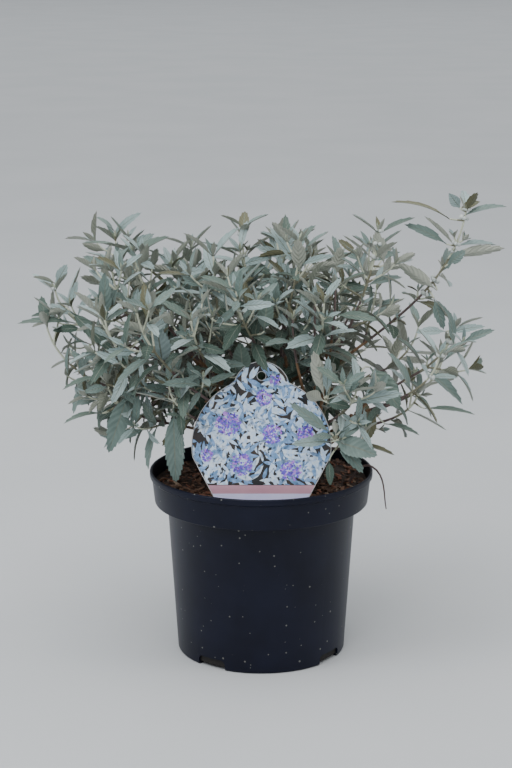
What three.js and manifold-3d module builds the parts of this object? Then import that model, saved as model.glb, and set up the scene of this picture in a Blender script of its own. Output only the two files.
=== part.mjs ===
// Potted bluebeard: a young silver-leaved shrub of many stems in a round black nursery pot,
// with a picture label pushed into the compost. Millimetres, +Z up, -Y towards the front.
// The origin is the centre of the pot's flat underside.
import * as THREE from "three";
import { mergeVertices } from "three/addons/utils/BufferGeometryUtils.js";
import Module from "manifold-3d";

const wasm = await Module();
wasm.setup();

// Pot
const POT_HEIGHT = 158;
const RIM_RADIUS = 95;
const BAND_HEIGHT = 27;
const BAND_FOOT_RADIUS = 91;
const BODY_TOP_RADIUS = 81;
const FOOT_RADIUS = 72;
const FOOT_BEVEL = 2;
const WALL = 1.6;
const FLOOR = 2.4;
const LIP = 0.8;
const POT_SIDES = 48;
const ARC_SEGMENTS = 12; // of each arc in an outline
const NOTCH_COUNT = 4;
const NOTCH_FIRST_DEG = -36; // from the front, negative to the left
const NOTCH_WIDTH = 27;
const NOTCH_HEIGHT = 9;
const NOTCH_DEPTH = 9;
const NOTCH_CORNER = 4;
const OVERCUT = 2; // of a cutter past the face it cuts

// Compost
const SOIL_LEVEL = 146;
const SOIL_EDGE_DROP = 3;
const SOIL_FLAT_RADIUS = 60;
const SEAT_GAP = 0.3; // between neighbours that touch on the real plant

// Label: a round picture card with a small round head, tapering into a tongue
const CARD_THICKNESS = 0.8;
const CARD_RADIUS = 57;
const CARD_CENTRE_Z = 196;
const CARD_FRONT_Y = -70;
const CARD_LEAN_DEG = 4;
const HEAD_RADIUS = 23;
const HEAD_CENTRE_Z = 243;
const HEAD_MEETS_Z = 249; // where the head's outline leaves that of the card
const HOLE_RADIUS = 3.5;
const HOLE_Z = 254;
const TAPER_TOP = { halfWidth: 56.2, z: 187 };
const TAPER_FOOT = { halfWidth: 26, z: 128 };
const TONGUE = { halfWidth: 9, z: 122, tipZ: 100 };
const CARD_SHOWN_TO_X = 24; // leaves hang in front of the card only to the right of this
const CARD_VIEW_MARGIN = 5;

// Woody crown, at the foot of all the stems
const CROWN_X = 15;
const CROWN_FLARE_RADIUS = 19;
const CROWN_NECK = { radius: 15, z: 3 };
const CROWN_KNOB_RADIUS = 14;
const CROWN_KNOB_RISE = 7;
const CROWN_KNOB_STEPS = 6;
const CROWN_SIDES = 16;

// Boughs: from the crown to where the foliage starts
const BOUGH_SHARE = 0.45; // of the way from the crown to the middle of the tips it carries
const BOUGH_FOOT_RADIUS = 3.2;
const BOUGH_TIP_RADIUS = 2.6;
const BOUGH_SIDES = 6;
const BOUGH_STEPS = 6;
const BOUGH_APART_DEG = 29;
const LOWEST_SLOPE = 0.3; // of a bough where it leaves the crown
const DOME = { rise: 0.6, radius: 0.75 }; // of a bough's rounded tip, as shares of its radius
const PULL = 0.36; // how far a limb holds its first and last directions, as a share of its span

// Leading stem of each mass of foliage
const STEM_FOOT_RADIUS = 1.35;
const STEM_TIP_RADIUS = 1;
const STEM_APART_DEG = 68;
const STEM_LEAN = 0.35; // outwards for each step up, at its tip
const INTERNODE = 16;
const FEWEST_NODES = 3;
const MOST_NODES = 9;

// Leaves in opposite pairs, each pair a quarter turn round from the one below
const LEAF_LENGTH = { low: 50, high: 32 };
const LEAF_WIDTH_SHARE = { low: 0.36, high: 0.3 };
const LEAF_SPREAD_DEG = { low: 88, high: 58 };
const LEAF_SAG = { low: 0.42, high: 0.05 };
const LEAF_ROLL_DEG = 35; // either way about its own length
const LEAF_THICKNESS_SHARE = 0.03; // of its length, at the ridge
const LEAF_THINNEST = 0.6;
const LEAF_WIDEST = 0.42; // of the way from root to tip
const LEAF_ARCH = 0.07;
const TURN_SPREAD = 0.5; // radians, between the furthest a leaf is turned either way
const SPREAD_SPREAD = 0.35; // radians, likewise for its angle from the stem
const LENGTH_SPREAD = 0.3; // likewise for its length, as a share of it
const PAIR_RISE = 1.2; // of the ring above a pair of leaves, and drop of the one below
const TUFT_LENGTH = 15;
const TUFT_SPREAD_DEG = 36;
const CREST_LENGTH = 13;
const CREST_WIDTH_SHARE = 0.34;

// Side shoots in the angles of the leaves
const SIDE_CHANCE = 0.5;
const SIDE_LENGTH = { low: 34, high: 18 };
const SIDE_LENGTH_SPREAD = 0.4; // as a share of its length
const SIDE_SPREAD_DEG = 42;
const SIDE_LIFT = 0.5; // how far its tip turns upwards
const SIDE_RISE = 2; // of the ring above a side shoot over the one below it
const SIDE_RADIUS = 0.9;
const SIDE_LEAF_SHARE = 0.9; // of the length of the leaf it stands over
const SIDE_LEAF_SPREAD_DEG = 60;
const SIDE_LEAF_SAG = 0.05;

// How far foliage keeps from its neighbours, and how a leaf with no room is turned and shrunk
const CLEARANCE = 0.9;
const TRIES = [
  { turn: 0, size: 1 },
  { turn: 0.5, size: 0.85 },
  { turn: -0.5, size: 0.7 },
];
const SPACE_SLACK = 12; // a leaf may be this much nearer to a neighbour's stem than to its own
const SEED = 207;
const MERGE_DISTANCE = 1e-4;

// Every mass of foliage: the bough that carries it, its name, and the tip of its leading stem
const FOLIAGE = [
  ["left", "left_outer", -171, -10, 314],
  ["left", "left_low", -178, 15, 284],
  ["left", "left_shoulder", -122, -32, 334],
  ["upper_left", "top_left", -124, 40, 348],
  ["upper_left", "upper_left", -106, -2, 344],
  ["upper_left", "upper_left_inner", -72, 18, 330],
  ["low_left", "low_left", -126, -50, 244],
  ["low_left", "low_left_inner", -74, -84, 250],
  ["front_left", "front_left", -126, -64, 300],
  ["front_left", "front_left_inner", -98, -95, 312],
  ["front_left", "front_left_centre", -56, -86, 304],
  ["centre_left", "crown_front_left", -39, -42, 348],
  ["centre_left", "crown_top", -16, 10, 356],
  ["centre_left", "front_centre", -20, -78, 326],
  ["centre_right", "crown_middle", 17, 8, 348],
  ["centre_right", "crown_front_right", 31, -38, 358],
  ["centre_right", "front_centre_right", 50, -66, 314],
  ["upper_right", "upper_right_inner", 64, 14, 334],
  ["upper_right", "upper_right", 96, -22, 364],
  ["upper_right", "top_right", 168, -10, 380],
  ["right", "right_outer", 160, -20, 284],
  ["right", "right_front", 144, -58, 268],
  ["low_right", "right_back", 154, 22, 246],
  ["low_right", "low_right", 132, -8, 226],
  ["front_right", "front_right", 76, -88, 250],
  ["front_right", "front_low_right", 84, -78, 212],
  ["back_left", "back_left", -112, 92, 312],
  ["back_left", "back_left_low", -142, 66, 250],
  ["back_left", "back_left_top", -62, 112, 330],
  ["back", "back_middle", -12, 138, 292],
  ["back", "back_top", 30, 92, 336],
  ["back_right", "back_right", 98, 84, 330],
  ["back_right", "back_right_outer", 138, 74, 266],
  ["back_right", "back_right_inner", 74, 132, 276],
  ["back_low", "back_low_left", -68, 128, 238],
  ["back_low", "back_low", 14, 148, 232],
];

// Colours as seen: black plastic, brown compost, grey-brown wood, silver-green leaves
const COLOURS = {
  pot: { color: 0x1b1d24, roughness: 0.45, metalness: 0 },
  compost: { color: 0x3a241a, roughness: 0.95, metalness: 0 },
  label: { color: 0xb9bfda, roughness: 0.35, metalness: 0 },
  wood: { color: 0x7a5f49, roughness: 0.85, metalness: 0 },
  leaf: { color: 0x8fa096, roughness: 0.8, metalness: 0 },
};

const UP = new THREE.Vector3(0, 0, 1);
const CROWN_CENTRE = new THREE.Vector3(CROWN_X, 0, SOIL_LEVEL + SEAT_GAP + CROWN_KNOB_RISE);

const material = (name) => new THREE.MeshStandardMaterial(COLOURS[name]);
const mix = (range, share) => THREE.MathUtils.lerp(range.low, range.high, share);
const radians = THREE.MathUtils.degToRad;

// The same number from 0 to 1 each time for the same whole-number keys
function draw(...keys) {
  const [golden, mixer] = [0x9e3779b1, 0x85ebca6b];
  let hash = SEED;
  for (const key of keys) {
    hash = Math.imul(hash ^ key, golden);
    hash ^= hash >>> 15;
    hash = Math.imul(hash, mixer);
    hash ^= hash >>> 13;
  }
  return (hash >>> 0) / 2 ** 32;
}

function toSolid(geometry) {
  const bare = geometry.clone();
  bare.deleteAttribute("normal");
  bare.deleteAttribute("uv");
  const merged = mergeVertices(bare, MERGE_DISTANCE);
  return new wasm.Manifold(
    new wasm.Mesh({
      numProp: 3,
      vertProperties: merged.attributes.position.array,
      triVerts: new Uint32Array(merged.index.array),
    }),
  );
}

const inPlace = (mesh) => toSolid(mesh.geometry.clone().applyMatrix4(mesh.matrixWorld));

function toGeometry(solid) {
  const mesh = solid.getMesh();
  const geometry = new THREE.BufferGeometry();
  geometry.setAttribute("position", new THREE.BufferAttribute(mesh.vertProperties, 3));
  geometry.setIndex(new THREE.BufferAttribute(mesh.triVerts, 1));
  geometry.computeVertexNormals();
  return geometry;
}

function facetedSolid(points, triangles) {
  const geometry = new THREE.BufferGeometry();
  geometry.setAttribute("position", new THREE.Float32BufferAttribute(points.flatMap((p) => p.toArray()), 3));
  geometry.setIndex(triangles.flat());
  return toSolid(geometry);
}

// A profile of [radius, height] pairs turned round the Z axis
function turned(profile, sides) {
  const points = profile.map(([radius, height]) => new THREE.Vector2(radius, height));
  return new THREE.LatheGeometry(points, sides).rotateX(Math.PI / 2);
}

// The inner surface of the pot's wall, from the ledge under the band down to the floor
const innerFootRadius = FOOT_RADIUS - WALL;
const innerTopRadius = BODY_TOP_RADIUS - WALL;
const bandFootZ = POT_HEIGHT - BAND_HEIGHT;
const ledgeZ = bandFootZ + WALL;

function notchOutline() {
  const half = NOTCH_WIDTH / 2;
  const cornerZ = NOTCH_HEIGHT - NOTCH_CORNER;
  const shape = new THREE.Shape();
  shape.moveTo(-half, -OVERCUT);
  shape.lineTo(half, -OVERCUT);
  shape.lineTo(half, cornerZ);
  shape.absarc(half - NOTCH_CORNER, cornerZ, NOTCH_CORNER, 0, Math.PI / 2);
  shape.absarc(NOTCH_CORNER - half, cornerZ, NOTCH_CORNER, Math.PI / 2, Math.PI);
  return shape;
}

// Drainage notches that cut the corner between wall and floor
function drainageNotches() {
  const reach = NOTCH_DEPTH + 2 * OVERCUT;
  return Array.from({ length: NOTCH_COUNT }, (_, i) => {
    const turn = radians(NOTCH_FIRST_DEG + (i * 360) / NOTCH_COUNT);
    const cutter = new THREE.ExtrudeGeometry(notchOutline(), {
      depth: reach,
      bevelEnabled: false,
      curveSegments: ARC_SEGMENTS / 3,
    });
    cutter.rotateX(Math.PI / 2);
    cutter.translate(0, NOTCH_DEPTH - FOOT_RADIUS, 0);
    cutter.rotateZ(turn);
    return toSolid(cutter);
  });
}

function potSolid() {
  const wall = turned(
    [
      [0, 0],
      [FOOT_RADIUS - FOOT_BEVEL, 0],
      [FOOT_RADIUS, FOOT_BEVEL],
      [BODY_TOP_RADIUS, bandFootZ],
      [BAND_FOOT_RADIUS, bandFootZ],
      [RIM_RADIUS, POT_HEIGHT - LIP],
      [RIM_RADIUS - LIP, POT_HEIGHT],
      [RIM_RADIUS - WALL - LIP, POT_HEIGHT],
      [BAND_FOOT_RADIUS - WALL, ledgeZ],
      [innerTopRadius, ledgeZ],
      [innerFootRadius, FLOOR],
      [0, FLOOR],
    ],
    POT_SIDES,
  );
  return drainageNotches().reduce((pot, notch) => pot.subtract(notch), toSolid(wall));
}

// The card's outline, in a plane whose height runs up the card. `grow` widens it all round.
function cardOutline(grow) {
  const shape = new THREE.Shape();
  const taperAngle = Math.asin((TAPER_TOP.z - CARD_CENTRE_Z) / CARD_RADIUS);
  const meetAngle = Math.asin((HEAD_MEETS_Z - CARD_CENTRE_Z) / CARD_RADIUS);
  const meetX = CARD_RADIUS * Math.cos(meetAngle);
  const headAngle = Math.atan2(HEAD_MEETS_Z - HEAD_CENTRE_Z, meetX);
  const tipZ = TONGUE.tipZ - Math.SQRT2 * grow;
  const shoulder = { x: TONGUE.halfWidth + grow, z: tipZ + TONGUE.halfWidth + grow };
  shape.moveTo(0, tipZ);
  shape.lineTo(shoulder.x, shoulder.z);
  shape.lineTo(TONGUE.halfWidth + grow, TONGUE.z - grow);
  shape.lineTo(TAPER_FOOT.halfWidth + grow, TAPER_FOOT.z - grow);
  shape.absarc(0, CARD_CENTRE_Z, CARD_RADIUS + grow, taperAngle, meetAngle);
  shape.absarc(0, HEAD_CENTRE_Z, HEAD_RADIUS + grow, headAngle, Math.PI - headAngle);
  shape.absarc(0, CARD_CENTRE_Z, CARD_RADIUS + grow, Math.PI - meetAngle, Math.PI - taperAngle);
  shape.lineTo(-TAPER_FOOT.halfWidth - grow, TAPER_FOOT.z - grow);
  shape.lineTo(-TONGUE.halfWidth - grow, TONGUE.z - grow);
  shape.lineTo(-shoulder.x, shoulder.z);
  return shape;
}

// A flat card standing in the plane Y = 0, its thickness centred there and Z = 0 at the compost
function cardGeometry(grow, withHole) {
  const outline = cardOutline(grow);
  if (withHole) outline.holes.push(new THREE.Path().absarc(0, HOLE_Z, HOLE_RADIUS, 0, 2 * Math.PI, true));
  const thickness = CARD_THICKNESS + 2 * grow;
  const card = new THREE.ExtrudeGeometry(outline, {
    depth: thickness,
    bevelEnabled: false,
    curveSegments: ARC_SEGMENTS,
  });
  return card.rotateX(Math.PI / 2).translate(0, thickness / 2, -SOIL_LEVEL);
}

// The card leans back about a line through it at the level of the compost
function leanCard(object) {
  object.position.set(0, CARD_FRONT_Y, SOIL_LEVEL);
  object.rotation.x = -radians(CARD_LEAN_DEG);
  object.updateMatrixWorld(true);
  return object;
}

function soilSolid() {
  const gap = SEAT_GAP;
  const wallRadiusAt = (z) =>
    THREE.MathUtils.mapLinear(z, FLOOR, ledgeZ, innerFootRadius, innerTopRadius) - gap;
  const bandRadiusAt = (z) =>
    THREE.MathUtils.mapLinear(z, ledgeZ, POT_HEIGHT, BAND_FOOT_RADIUS - WALL, RIM_RADIUS - WALL - LIP) - gap;
  const edgeZ = SOIL_LEVEL - SOIL_EDGE_DROP;
  const heap = turned(
    [
      [0, FLOOR + gap],
      [wallRadiusAt(FLOOR), FLOOR + gap],
      [wallRadiusAt(ledgeZ), ledgeZ + gap],
      [bandRadiusAt(ledgeZ), ledgeZ + gap],
      [bandRadiusAt(edgeZ), edgeZ],
      [SOIL_FLAT_RADIUS, SOIL_LEVEL],
      [0, SOIL_LEVEL],
    ],
    POT_SIDES,
  );
  const slot = leanCard(new THREE.Mesh(cardGeometry(gap, false)));
  return toSolid(heap).subtract(inPlace(slot));
}

// The woody crown: flared at the compost, domed where the stems leave it
function crownGeometry() {
  const knob = Array.from({ length: CROWN_KNOB_STEPS }, (_, i) => {
    const angle = (i * Math.PI) / 2 / CROWN_KNOB_STEPS;
    return [CROWN_KNOB_RADIUS * Math.cos(angle), CROWN_KNOB_RISE + CROWN_KNOB_RADIUS * Math.sin(angle)];
  });
  return turned(
    [
      [0, 0],
      [CROWN_FLARE_RADIUS, 0],
      [CROWN_NECK.radius, CROWN_NECK.z],
      ...knob,
      [0, CROWN_KNOB_RISE + CROWN_KNOB_RADIUS],
    ],
    CROWN_SIDES,
  );
}

// Turns directions that leave one knob away from each other until each pair is `apart` degrees apart
function spreadOut(wanted, apart, lowest) {
  const directions = wanted.map((d) => d.clone().normalize());
  const rounds = 60;
  for (let round = 0; round < rounds; round++) {
    for (let i = 0; i < directions.length; i++) {
      for (let j = i + 1; j < directions.length; j++) {
        const lack = radians(apart) - directions[i].angleTo(directions[j]);
        if (lack <= 0) continue;
        const axis = directions[i].clone().cross(directions[j]).normalize();
        directions[i].applyAxisAngle(axis, -lack / 2);
        directions[j].applyAxisAngle(axis, lack / 2);
      }
      directions[i].z = Math.max(directions[i].z, lowest);
      directions[i].normalize();
    }
  }
  return directions;
}

// A smooth path of equal steps, with the direction and a sideways vector at each point
function growPath(start, startDirection, end, endDirection, steps) {
  const pull = start.distanceTo(end) * PULL;
  const curve = new THREE.CubicBezierCurve3(
    start,
    start.clone().addScaledVector(startDirection, pull),
    end.clone().addScaledVector(endDirection, -pull),
    end,
  );
  const path = [];
  let side = UP.clone().cross(startDirection);
  if (side.length() < 1e-3) side.set(1, 0, 0);
  for (let i = 0; i <= steps; i++) {
    const along = curve.getTangent(i / steps);
    side = side.clone().addScaledVector(along, -side.dot(along)).normalize();
    path.push({ point: curve.getPoint(i / steps), along, side });
  }
  return path;
}

// A tapering limb along a path, closed by a flat foot and a domed tip
function limbSolid(path, footRadius, tipRadius, sides, domed) {
  const points = [];
  const triangles = [];
  const ring = (centre, step, radius) => {
    const across = step.along.clone().cross(step.side);
    for (let k = 0; k < sides; k++) {
      const angle = (k * 2 * Math.PI) / sides;
      points.push(
        centre
          .clone()
          .addScaledVector(step.side, radius * Math.cos(angle))
          .addScaledVector(across, radius * Math.sin(angle)),
      );
    }
  };
  const last = path.length - 1;
  path.forEach((step, i) => ring(step.point, step, THREE.MathUtils.lerp(footRadius, tipRadius, i / last)));
  const tip = path[last];
  let rings = path.length;
  if (domed) {
    ring(tip.point.clone().addScaledVector(tip.along, tipRadius * DOME.rise), tip, tipRadius * DOME.radius);
    rings += 1;
  }
  for (let i = 0; i + 1 < rings; i++) {
    for (let k = 0; k < sides; k++) {
      const next = (k + 1) % sides;
      const [a, b, c, d] = [i * sides + k, i * sides + next, (i + 1) * sides + k, (i + 1) * sides + next];
      triangles.push([a, b, d], [a, d, c]);
    }
  }
  for (let k = 1; k + 1 < sides; k++) {
    const top = (rings - 1) * sides;
    triangles.push([0, k + 1, k], [top, top + k, top + k + 1]);
  }
  return facetedSolid(points, triangles);
}

// The corners of a leaf: its ridge, right and left edges where it is widest, and its tip
function leafCorners(leaf) {
  const across = leaf.along.clone().cross(leaf.face).normalize();
  const at = (lengthwise, sideways, lift) =>
    leaf.root
      .clone()
      .addScaledVector(leaf.along, lengthwise)
      .addScaledVector(across, sideways)
      .addScaledVector(leaf.face, lift);
  const middle = LEAF_WIDEST * leaf.length;
  const bow = leaf.arch * leaf.length;
  const thickness = Math.max(LEAF_THINNEST, LEAF_THICKNESS_SHARE * leaf.length);
  return {
    rim: [
      at(middle, 0, bow + thickness),
      at(middle, leaf.width / 2, bow),
      at(middle, -leaf.width / 2, bow),
    ],
    tip: at(leaf.length, 0, -bow),
  };
}

// The room a leaf takes, as a solid of its own for measuring gaps, as thick at its root as its twig
function leafSolid(leaf) {
  const { rim, tip } = leafCorners(leaf);
  const across = leaf.along.clone().cross(leaf.face).normalize();
  const foot = (sideways, lift) =>
    leaf.root
      .clone()
      .addScaledVector(across, sideways * leaf.footRadius)
      .addScaledVector(leaf.face, lift * leaf.footRadius);
  const [sine, cosine] = [Math.sin((2 * Math.PI) / 3), Math.cos((2 * Math.PI) / 3)];
  const points = [foot(0, 1), foot(sine, cosine), foot(-sine, cosine), ...rim, tip];
  const around = [0, 1, 2].flatMap((k) => {
    const next = (k + 1) % 3;
    return [
      [k, next, 3 + next],
      [k, 3 + next, 3 + k],
      [3 + k, 3 + next, 6],
    ];
  });
  return facetedSolid(points, [[0, 2, 1], ...around]);
}

// The outer part of that room, which touches nothing at all
function bladeSolid(leaf) {
  const { rim, tip } = leafCorners(leaf);
  return facetedSolid(
    [...rim, tip],
    [
      [0, 2, 1],
      [0, 1, 3],
      [1, 2, 3],
      [2, 0, 3],
    ],
  );
}

// The closed surface of a mass of foliage. Each twig is a stack of three-cornered rings, and each
// leaf or side shoot grows out of a small face left open for it between two rings.
class Skin {
  points = [];
  triangles = [];

  add(points) {
    this.points.push(...points);
    return points.map((_, i) => this.points.length - points.length + i);
  }

  ring(step, shift, radius) {
    const across = step.along.clone().cross(step.side);
    const corner = (k) => {
      const angle = (k * 2 * Math.PI) / 3;
      return step.point
        .clone()
        .addScaledVector(step.along, shift)
        .addScaledVector(step.side, radius * Math.cos(angle))
        .addScaledVector(across, radius * Math.sin(angle));
    };
    return this.add([corner(0), corner(1), corner(2)]);
  }

  // How far round `axis` each corner of a loop lies, counted on from the first
  turnsOf(loop, axis) {
    const reference = Math.abs(axis.z) < 0.9 ? UP : new THREE.Vector3(1, 0, 0);
    const right = reference.clone().cross(axis).normalize();
    const ahead = axis.clone().cross(right);
    const centre = new THREE.Vector3();
    loop.forEach((i) => centre.addScaledVector(this.points[i], 1 / loop.length));
    const turns = loop.map((i) => {
      const arm = this.points[i].clone().sub(centre);
      return Math.atan2(arm.dot(ahead), arm.dot(right));
    });
    const onward = turns.map((turn) => THREE.MathUtils.euclideanModulo(turn - turns[0], 2 * Math.PI));
    return { first: turns[0], onward: [...onward, 2 * Math.PI] };
  }

  // Joins two loops that run the same way round `axis`, whatever their numbers of corners
  bridge(lower, upper, axis) {
    const below = this.turnsOf(lower, axis);
    const away = (loop) => {
      const off = this.turnsOf(loop, axis).first - below.first + Math.PI;
      return THREE.MathUtils.euclideanModulo(off, 2 * Math.PI) - Math.PI;
    };
    const rotations = upper.map((_, k) => [...upper.slice(k), ...upper.slice(0, k)]);
    const matched = rotations.sort((a, b) => Math.abs(away(a)) - Math.abs(away(b)))[0];
    const above = this.turnsOf(matched, axis).onward.map((turn) => turn + away(matched));
    let [i, j] = [0, 0];
    const low = (k) => lower[k % lower.length];
    const high = (k) => matched[k % matched.length];
    while (i < lower.length || j < matched.length) {
      if (j >= matched.length || (i < lower.length && below.onward[i + 1] <= above[j + 1])) {
        this.triangles.push([low(i), low(i + 1), high(j)]);
        i += 1;
      } else {
        this.triangles.push([low(i), high(j + 1), high(j)]);
        j += 1;
      }
    }
  }

  growLeaf(loop, leaf) {
    const { rim, tip } = leafCorners(leaf);
    const [ridge, right, left] = this.add(rim);
    const [end] = this.add([tip]);
    this.bridge(loop, [ridge, right, left], leaf.along);
    this.triangles.push([ridge, right, end], [right, left, end], [left, ridge, end]);
  }

  // The three faces between two rings, with whatever grows from them
  growBand(lower, upper, buds) {
    for (let k = 0; k < 3; k++) {
      const next = (k + 1) % 3;
      const loop = [lower[k], lower[next], upper[next], upper[k]];
      const bud = buds.find(({ face }) => face === k);
      if (bud?.leaf) this.growLeaf(loop, bud.leaf);
      else if (bud?.twig) this.growTwig(loop, bud.twig);
      else this.triangles.push([loop[0], loop[1], loop[2]], [loop[0], loop[2], loop[3]]);
    }
  }

  // A twig from an open face of the twig that bears it, or from a foot of its own
  growTwig(opening, twig) {
    const last = twig.path.length - 1;
    let lower = opening;
    twig.path.slice(opening ? 1 : 0).forEach((step) => {
      const node = twig.path.indexOf(step);
      const radius = THREE.MathUtils.lerp(twig.footRadius, twig.tipRadius, node / last);
      const leaves = twig.buds[node].filter((bud) => bud.leaf);
      const shoots = twig.buds[node].filter((bud) => bud.twig);
      const levels = [[leaves.length + shoots.length ? -PAIR_RISE : 0, []]];
      if (leaves.length + shoots.length) levels.push([PAIR_RISE, leaves]);
      if (shoots.length) levels.push([PAIR_RISE + SIDE_RISE, shoots]);
      for (const [shift, buds] of levels) {
        const upper = this.ring(step, shift, radius);
        if (!lower) this.triangles.push([upper[0], upper[2], upper[1]]);
        else if (lower.length === 4) this.bridge(lower, upper, step.along);
        else this.growBand(lower, upper, buds);
        lower = upper;
      }
    });
    this.growLeaf(lower, twig.crest);
  }

  solid() {
    return facetedSolid(this.points, this.triangles);
  }
}

// Where a leaf points, given its stem's direction and the way it turns from it
function leafPose(step, turn, spread, sag) {
  const outward = step.side
    .clone()
    .multiplyScalar(Math.cos(turn))
    .addScaledVector(step.along.clone().cross(step.side), Math.sin(turn));
  const along = step.along
    .clone()
    .multiplyScalar(Math.cos(spread))
    .addScaledVector(outward, Math.sin(spread))
    .addScaledVector(UP, -sag)
    .normalize();
  const face = step.along.clone().addScaledVector(along, -step.along.dot(along));
  if (face.length() < 0.2) face.copy(outward).addScaledVector(along, -outward.dot(along)).negate();
  return { along, face: face.normalize() };
}

// The face of a three-sided twig that looks most nearly the way of `turn`, of those not yet taken
function nearestFace(turn, taken) {
  const off = (k) => Math.abs(Math.sin((turn - ((k + 0.5) * 2 * Math.PI) / 3) / 2));
  return [0, 1, 2].filter((k) => !taken.includes(k)).sort((a, b) => off(a) - off(b))[0];
}

// Everything already in place. A new piece meets only the twig it grows on and what shares its
// joint, and the outer parts of both stay out of it.
const placed = [];

const place = (piece) => placed.push({ ...piece, box: piece.solid.boundingBox() });

function isClear({ bearer, joint, solid, outer }) {
  const box = solid.boundingBox();
  const near = (other) =>
    [0, 1, 2].every((i) => box.min[i] - CLEARANCE < other.max[i] && other.min[i] - CLEARANCE < box.max[i]);
  return placed.every((other) => {
    if (!near(other.box)) return true;
    const met = (other.twig && other.twig === bearer) || (other.joint && other.joint === joint);
    if (!met) return other.solid.minGap(solid, CLEARANCE) >= CLEARANCE;
    const apart = (one, another) => !one || one.minGap(another, CLEARANCE) > 0;
    return apart(outer, other.solid) && apart(other.outer, solid);
  });
}

const jointOf = (...keys) => keys.join();

const nearestOnStem = (stem, point) => Math.min(...stem.map((step) => step.point.distanceTo(point)));

// True where a point lies in the space of its own mass, as far as the stems divide the crown
function inOwnSpace(mass, point, masses) {
  const own = nearestOnStem(mass.stem, point);
  return masses.every((other) => other === mass || own - SPACE_SLACK < nearestOnStem(other.stem, point));
}

// True in front of the part of the card that stays in plain view
function hidesCard({ x, y, z }) {
  const inFront = y < CARD_FRONT_Y + CARD_VIEW_MARGIN;
  return inFront && x < CARD_SHOWN_TO_X && Math.hypot(x, z - CARD_CENTRE_Z) < CARD_RADIUS + CARD_VIEW_MARGIN;
}

// A twig along a path, ending in an upright leaf whose flat side looks the way of `turn`
function makeTwig(path, footRadius, tipRadius, turn) {
  const end = path[path.length - 1];
  const { along } = leafPose(end, turn, Math.PI / 2, 0);
  const crest = {
    root: end.point.clone().addScaledVector(end.along, PAIR_RISE),
    along: end.along,
    face: along,
    length: CREST_LENGTH,
    width: CREST_LENGTH * CREST_WIDTH_SHARE,
    arch: 0,
    footRadius: tipRadius,
  };
  return { path, footRadius, tipRadius, crest, buds: path.map(() => []) };
}

const twigPieces = ({ path, footRadius, tipRadius, crest }) => [
  { solid: limbSolid(path, footRadius, tipRadius, 3, false) },
  { solid: leafSolid(crest), outer: bladeSolid(crest) },
];

function addLeaf(mass, masses, twig, node, joint, wanted) {
  const step = twig.path[node];
  for (const { turn, size } of TRIES) {
    const length = wanted.length * size;
    const pose = leafPose(step, wanted.turn + turn, wanted.spread, wanted.sag);
    pose.face.applyAxisAngle(pose.along, wanted.roll);
    const leaf = {
      ...pose,
      root: step.point,
      length,
      width: length * wanted.widthShare,
      arch: wanted.arch,
      footRadius: twig.footRadius,
    };
    const piece = { joint, solid: leafSolid(leaf), outer: bladeSolid(leaf) };
    const tip = step.point.clone().addScaledVector(pose.along, length);
    if (hidesCard(tip) || !inOwnSpace(mass, tip, masses)) continue;
    if (!isClear({ bearer: twig, ...piece })) continue;
    place(piece);
    const taken = twig.buds[node].map((bud) => bud.face);
    twig.buds[node].push({ leaf, face: nearestFace(wanted.turn + turn, taken) });
    return;
  }
}

// An opposite pair of leaves, each a little unlike the other; `keys` number the pair for its draws
function addPair(mass, masses, twig, node, pair, keys) {
  for (const half of [0, 1]) {
    const vary = (what) => draw(...keys, half, what) - 0.5;
    addLeaf(mass, masses, twig, node, jointOf(...keys), {
      ...pair,
      turn: pair.turn + half * Math.PI + vary(1) * TURN_SPREAD,
      spread: radians(pair.spreadDeg) + vary(2) * SPREAD_SPREAD,
      sag: pair.sag * (1 + vary(3)),
      length: pair.length * (1 + vary(4) * LENGTH_SPREAD),
      roll: radians(pair.rollDeg) * 2 * vary(5),
    });
  }
}

const tuftPair = (turn) => ({
  turn,
  spreadDeg: TUFT_SPREAD_DEG,
  sag: 0,
  length: TUFT_LENGTH,
  widthShare: LEAF_WIDTH_SHARE.high,
  rollDeg: 0,
  arch: 0,
});

// Leaves up the leading stem, and the tuft at its tip
function dressStem(mass, masses) {
  const last = mass.stem.length - 1;
  for (let node = 1; node < last; node++) {
    const share = (node - 1) / (last - 2);
    const pair = {
      turn: (node * Math.PI) / 2,
      spreadDeg: mix(LEAF_SPREAD_DEG, share),
      sag: mix(LEAF_SAG, share),
      length: mix(LEAF_LENGTH, share),
      widthShare: mix(LEAF_WIDTH_SHARE, share),
      rollDeg: LEAF_ROLL_DEG,
      arch: LEAF_ARCH,
    };
    addPair(mass, masses, mass.twig, node, pair, [mass.index, node]);
  }
  addPair(mass, masses, mass.twig, last, tuftPair((last * Math.PI) / 2), [mass.index, last]);
}

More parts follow.
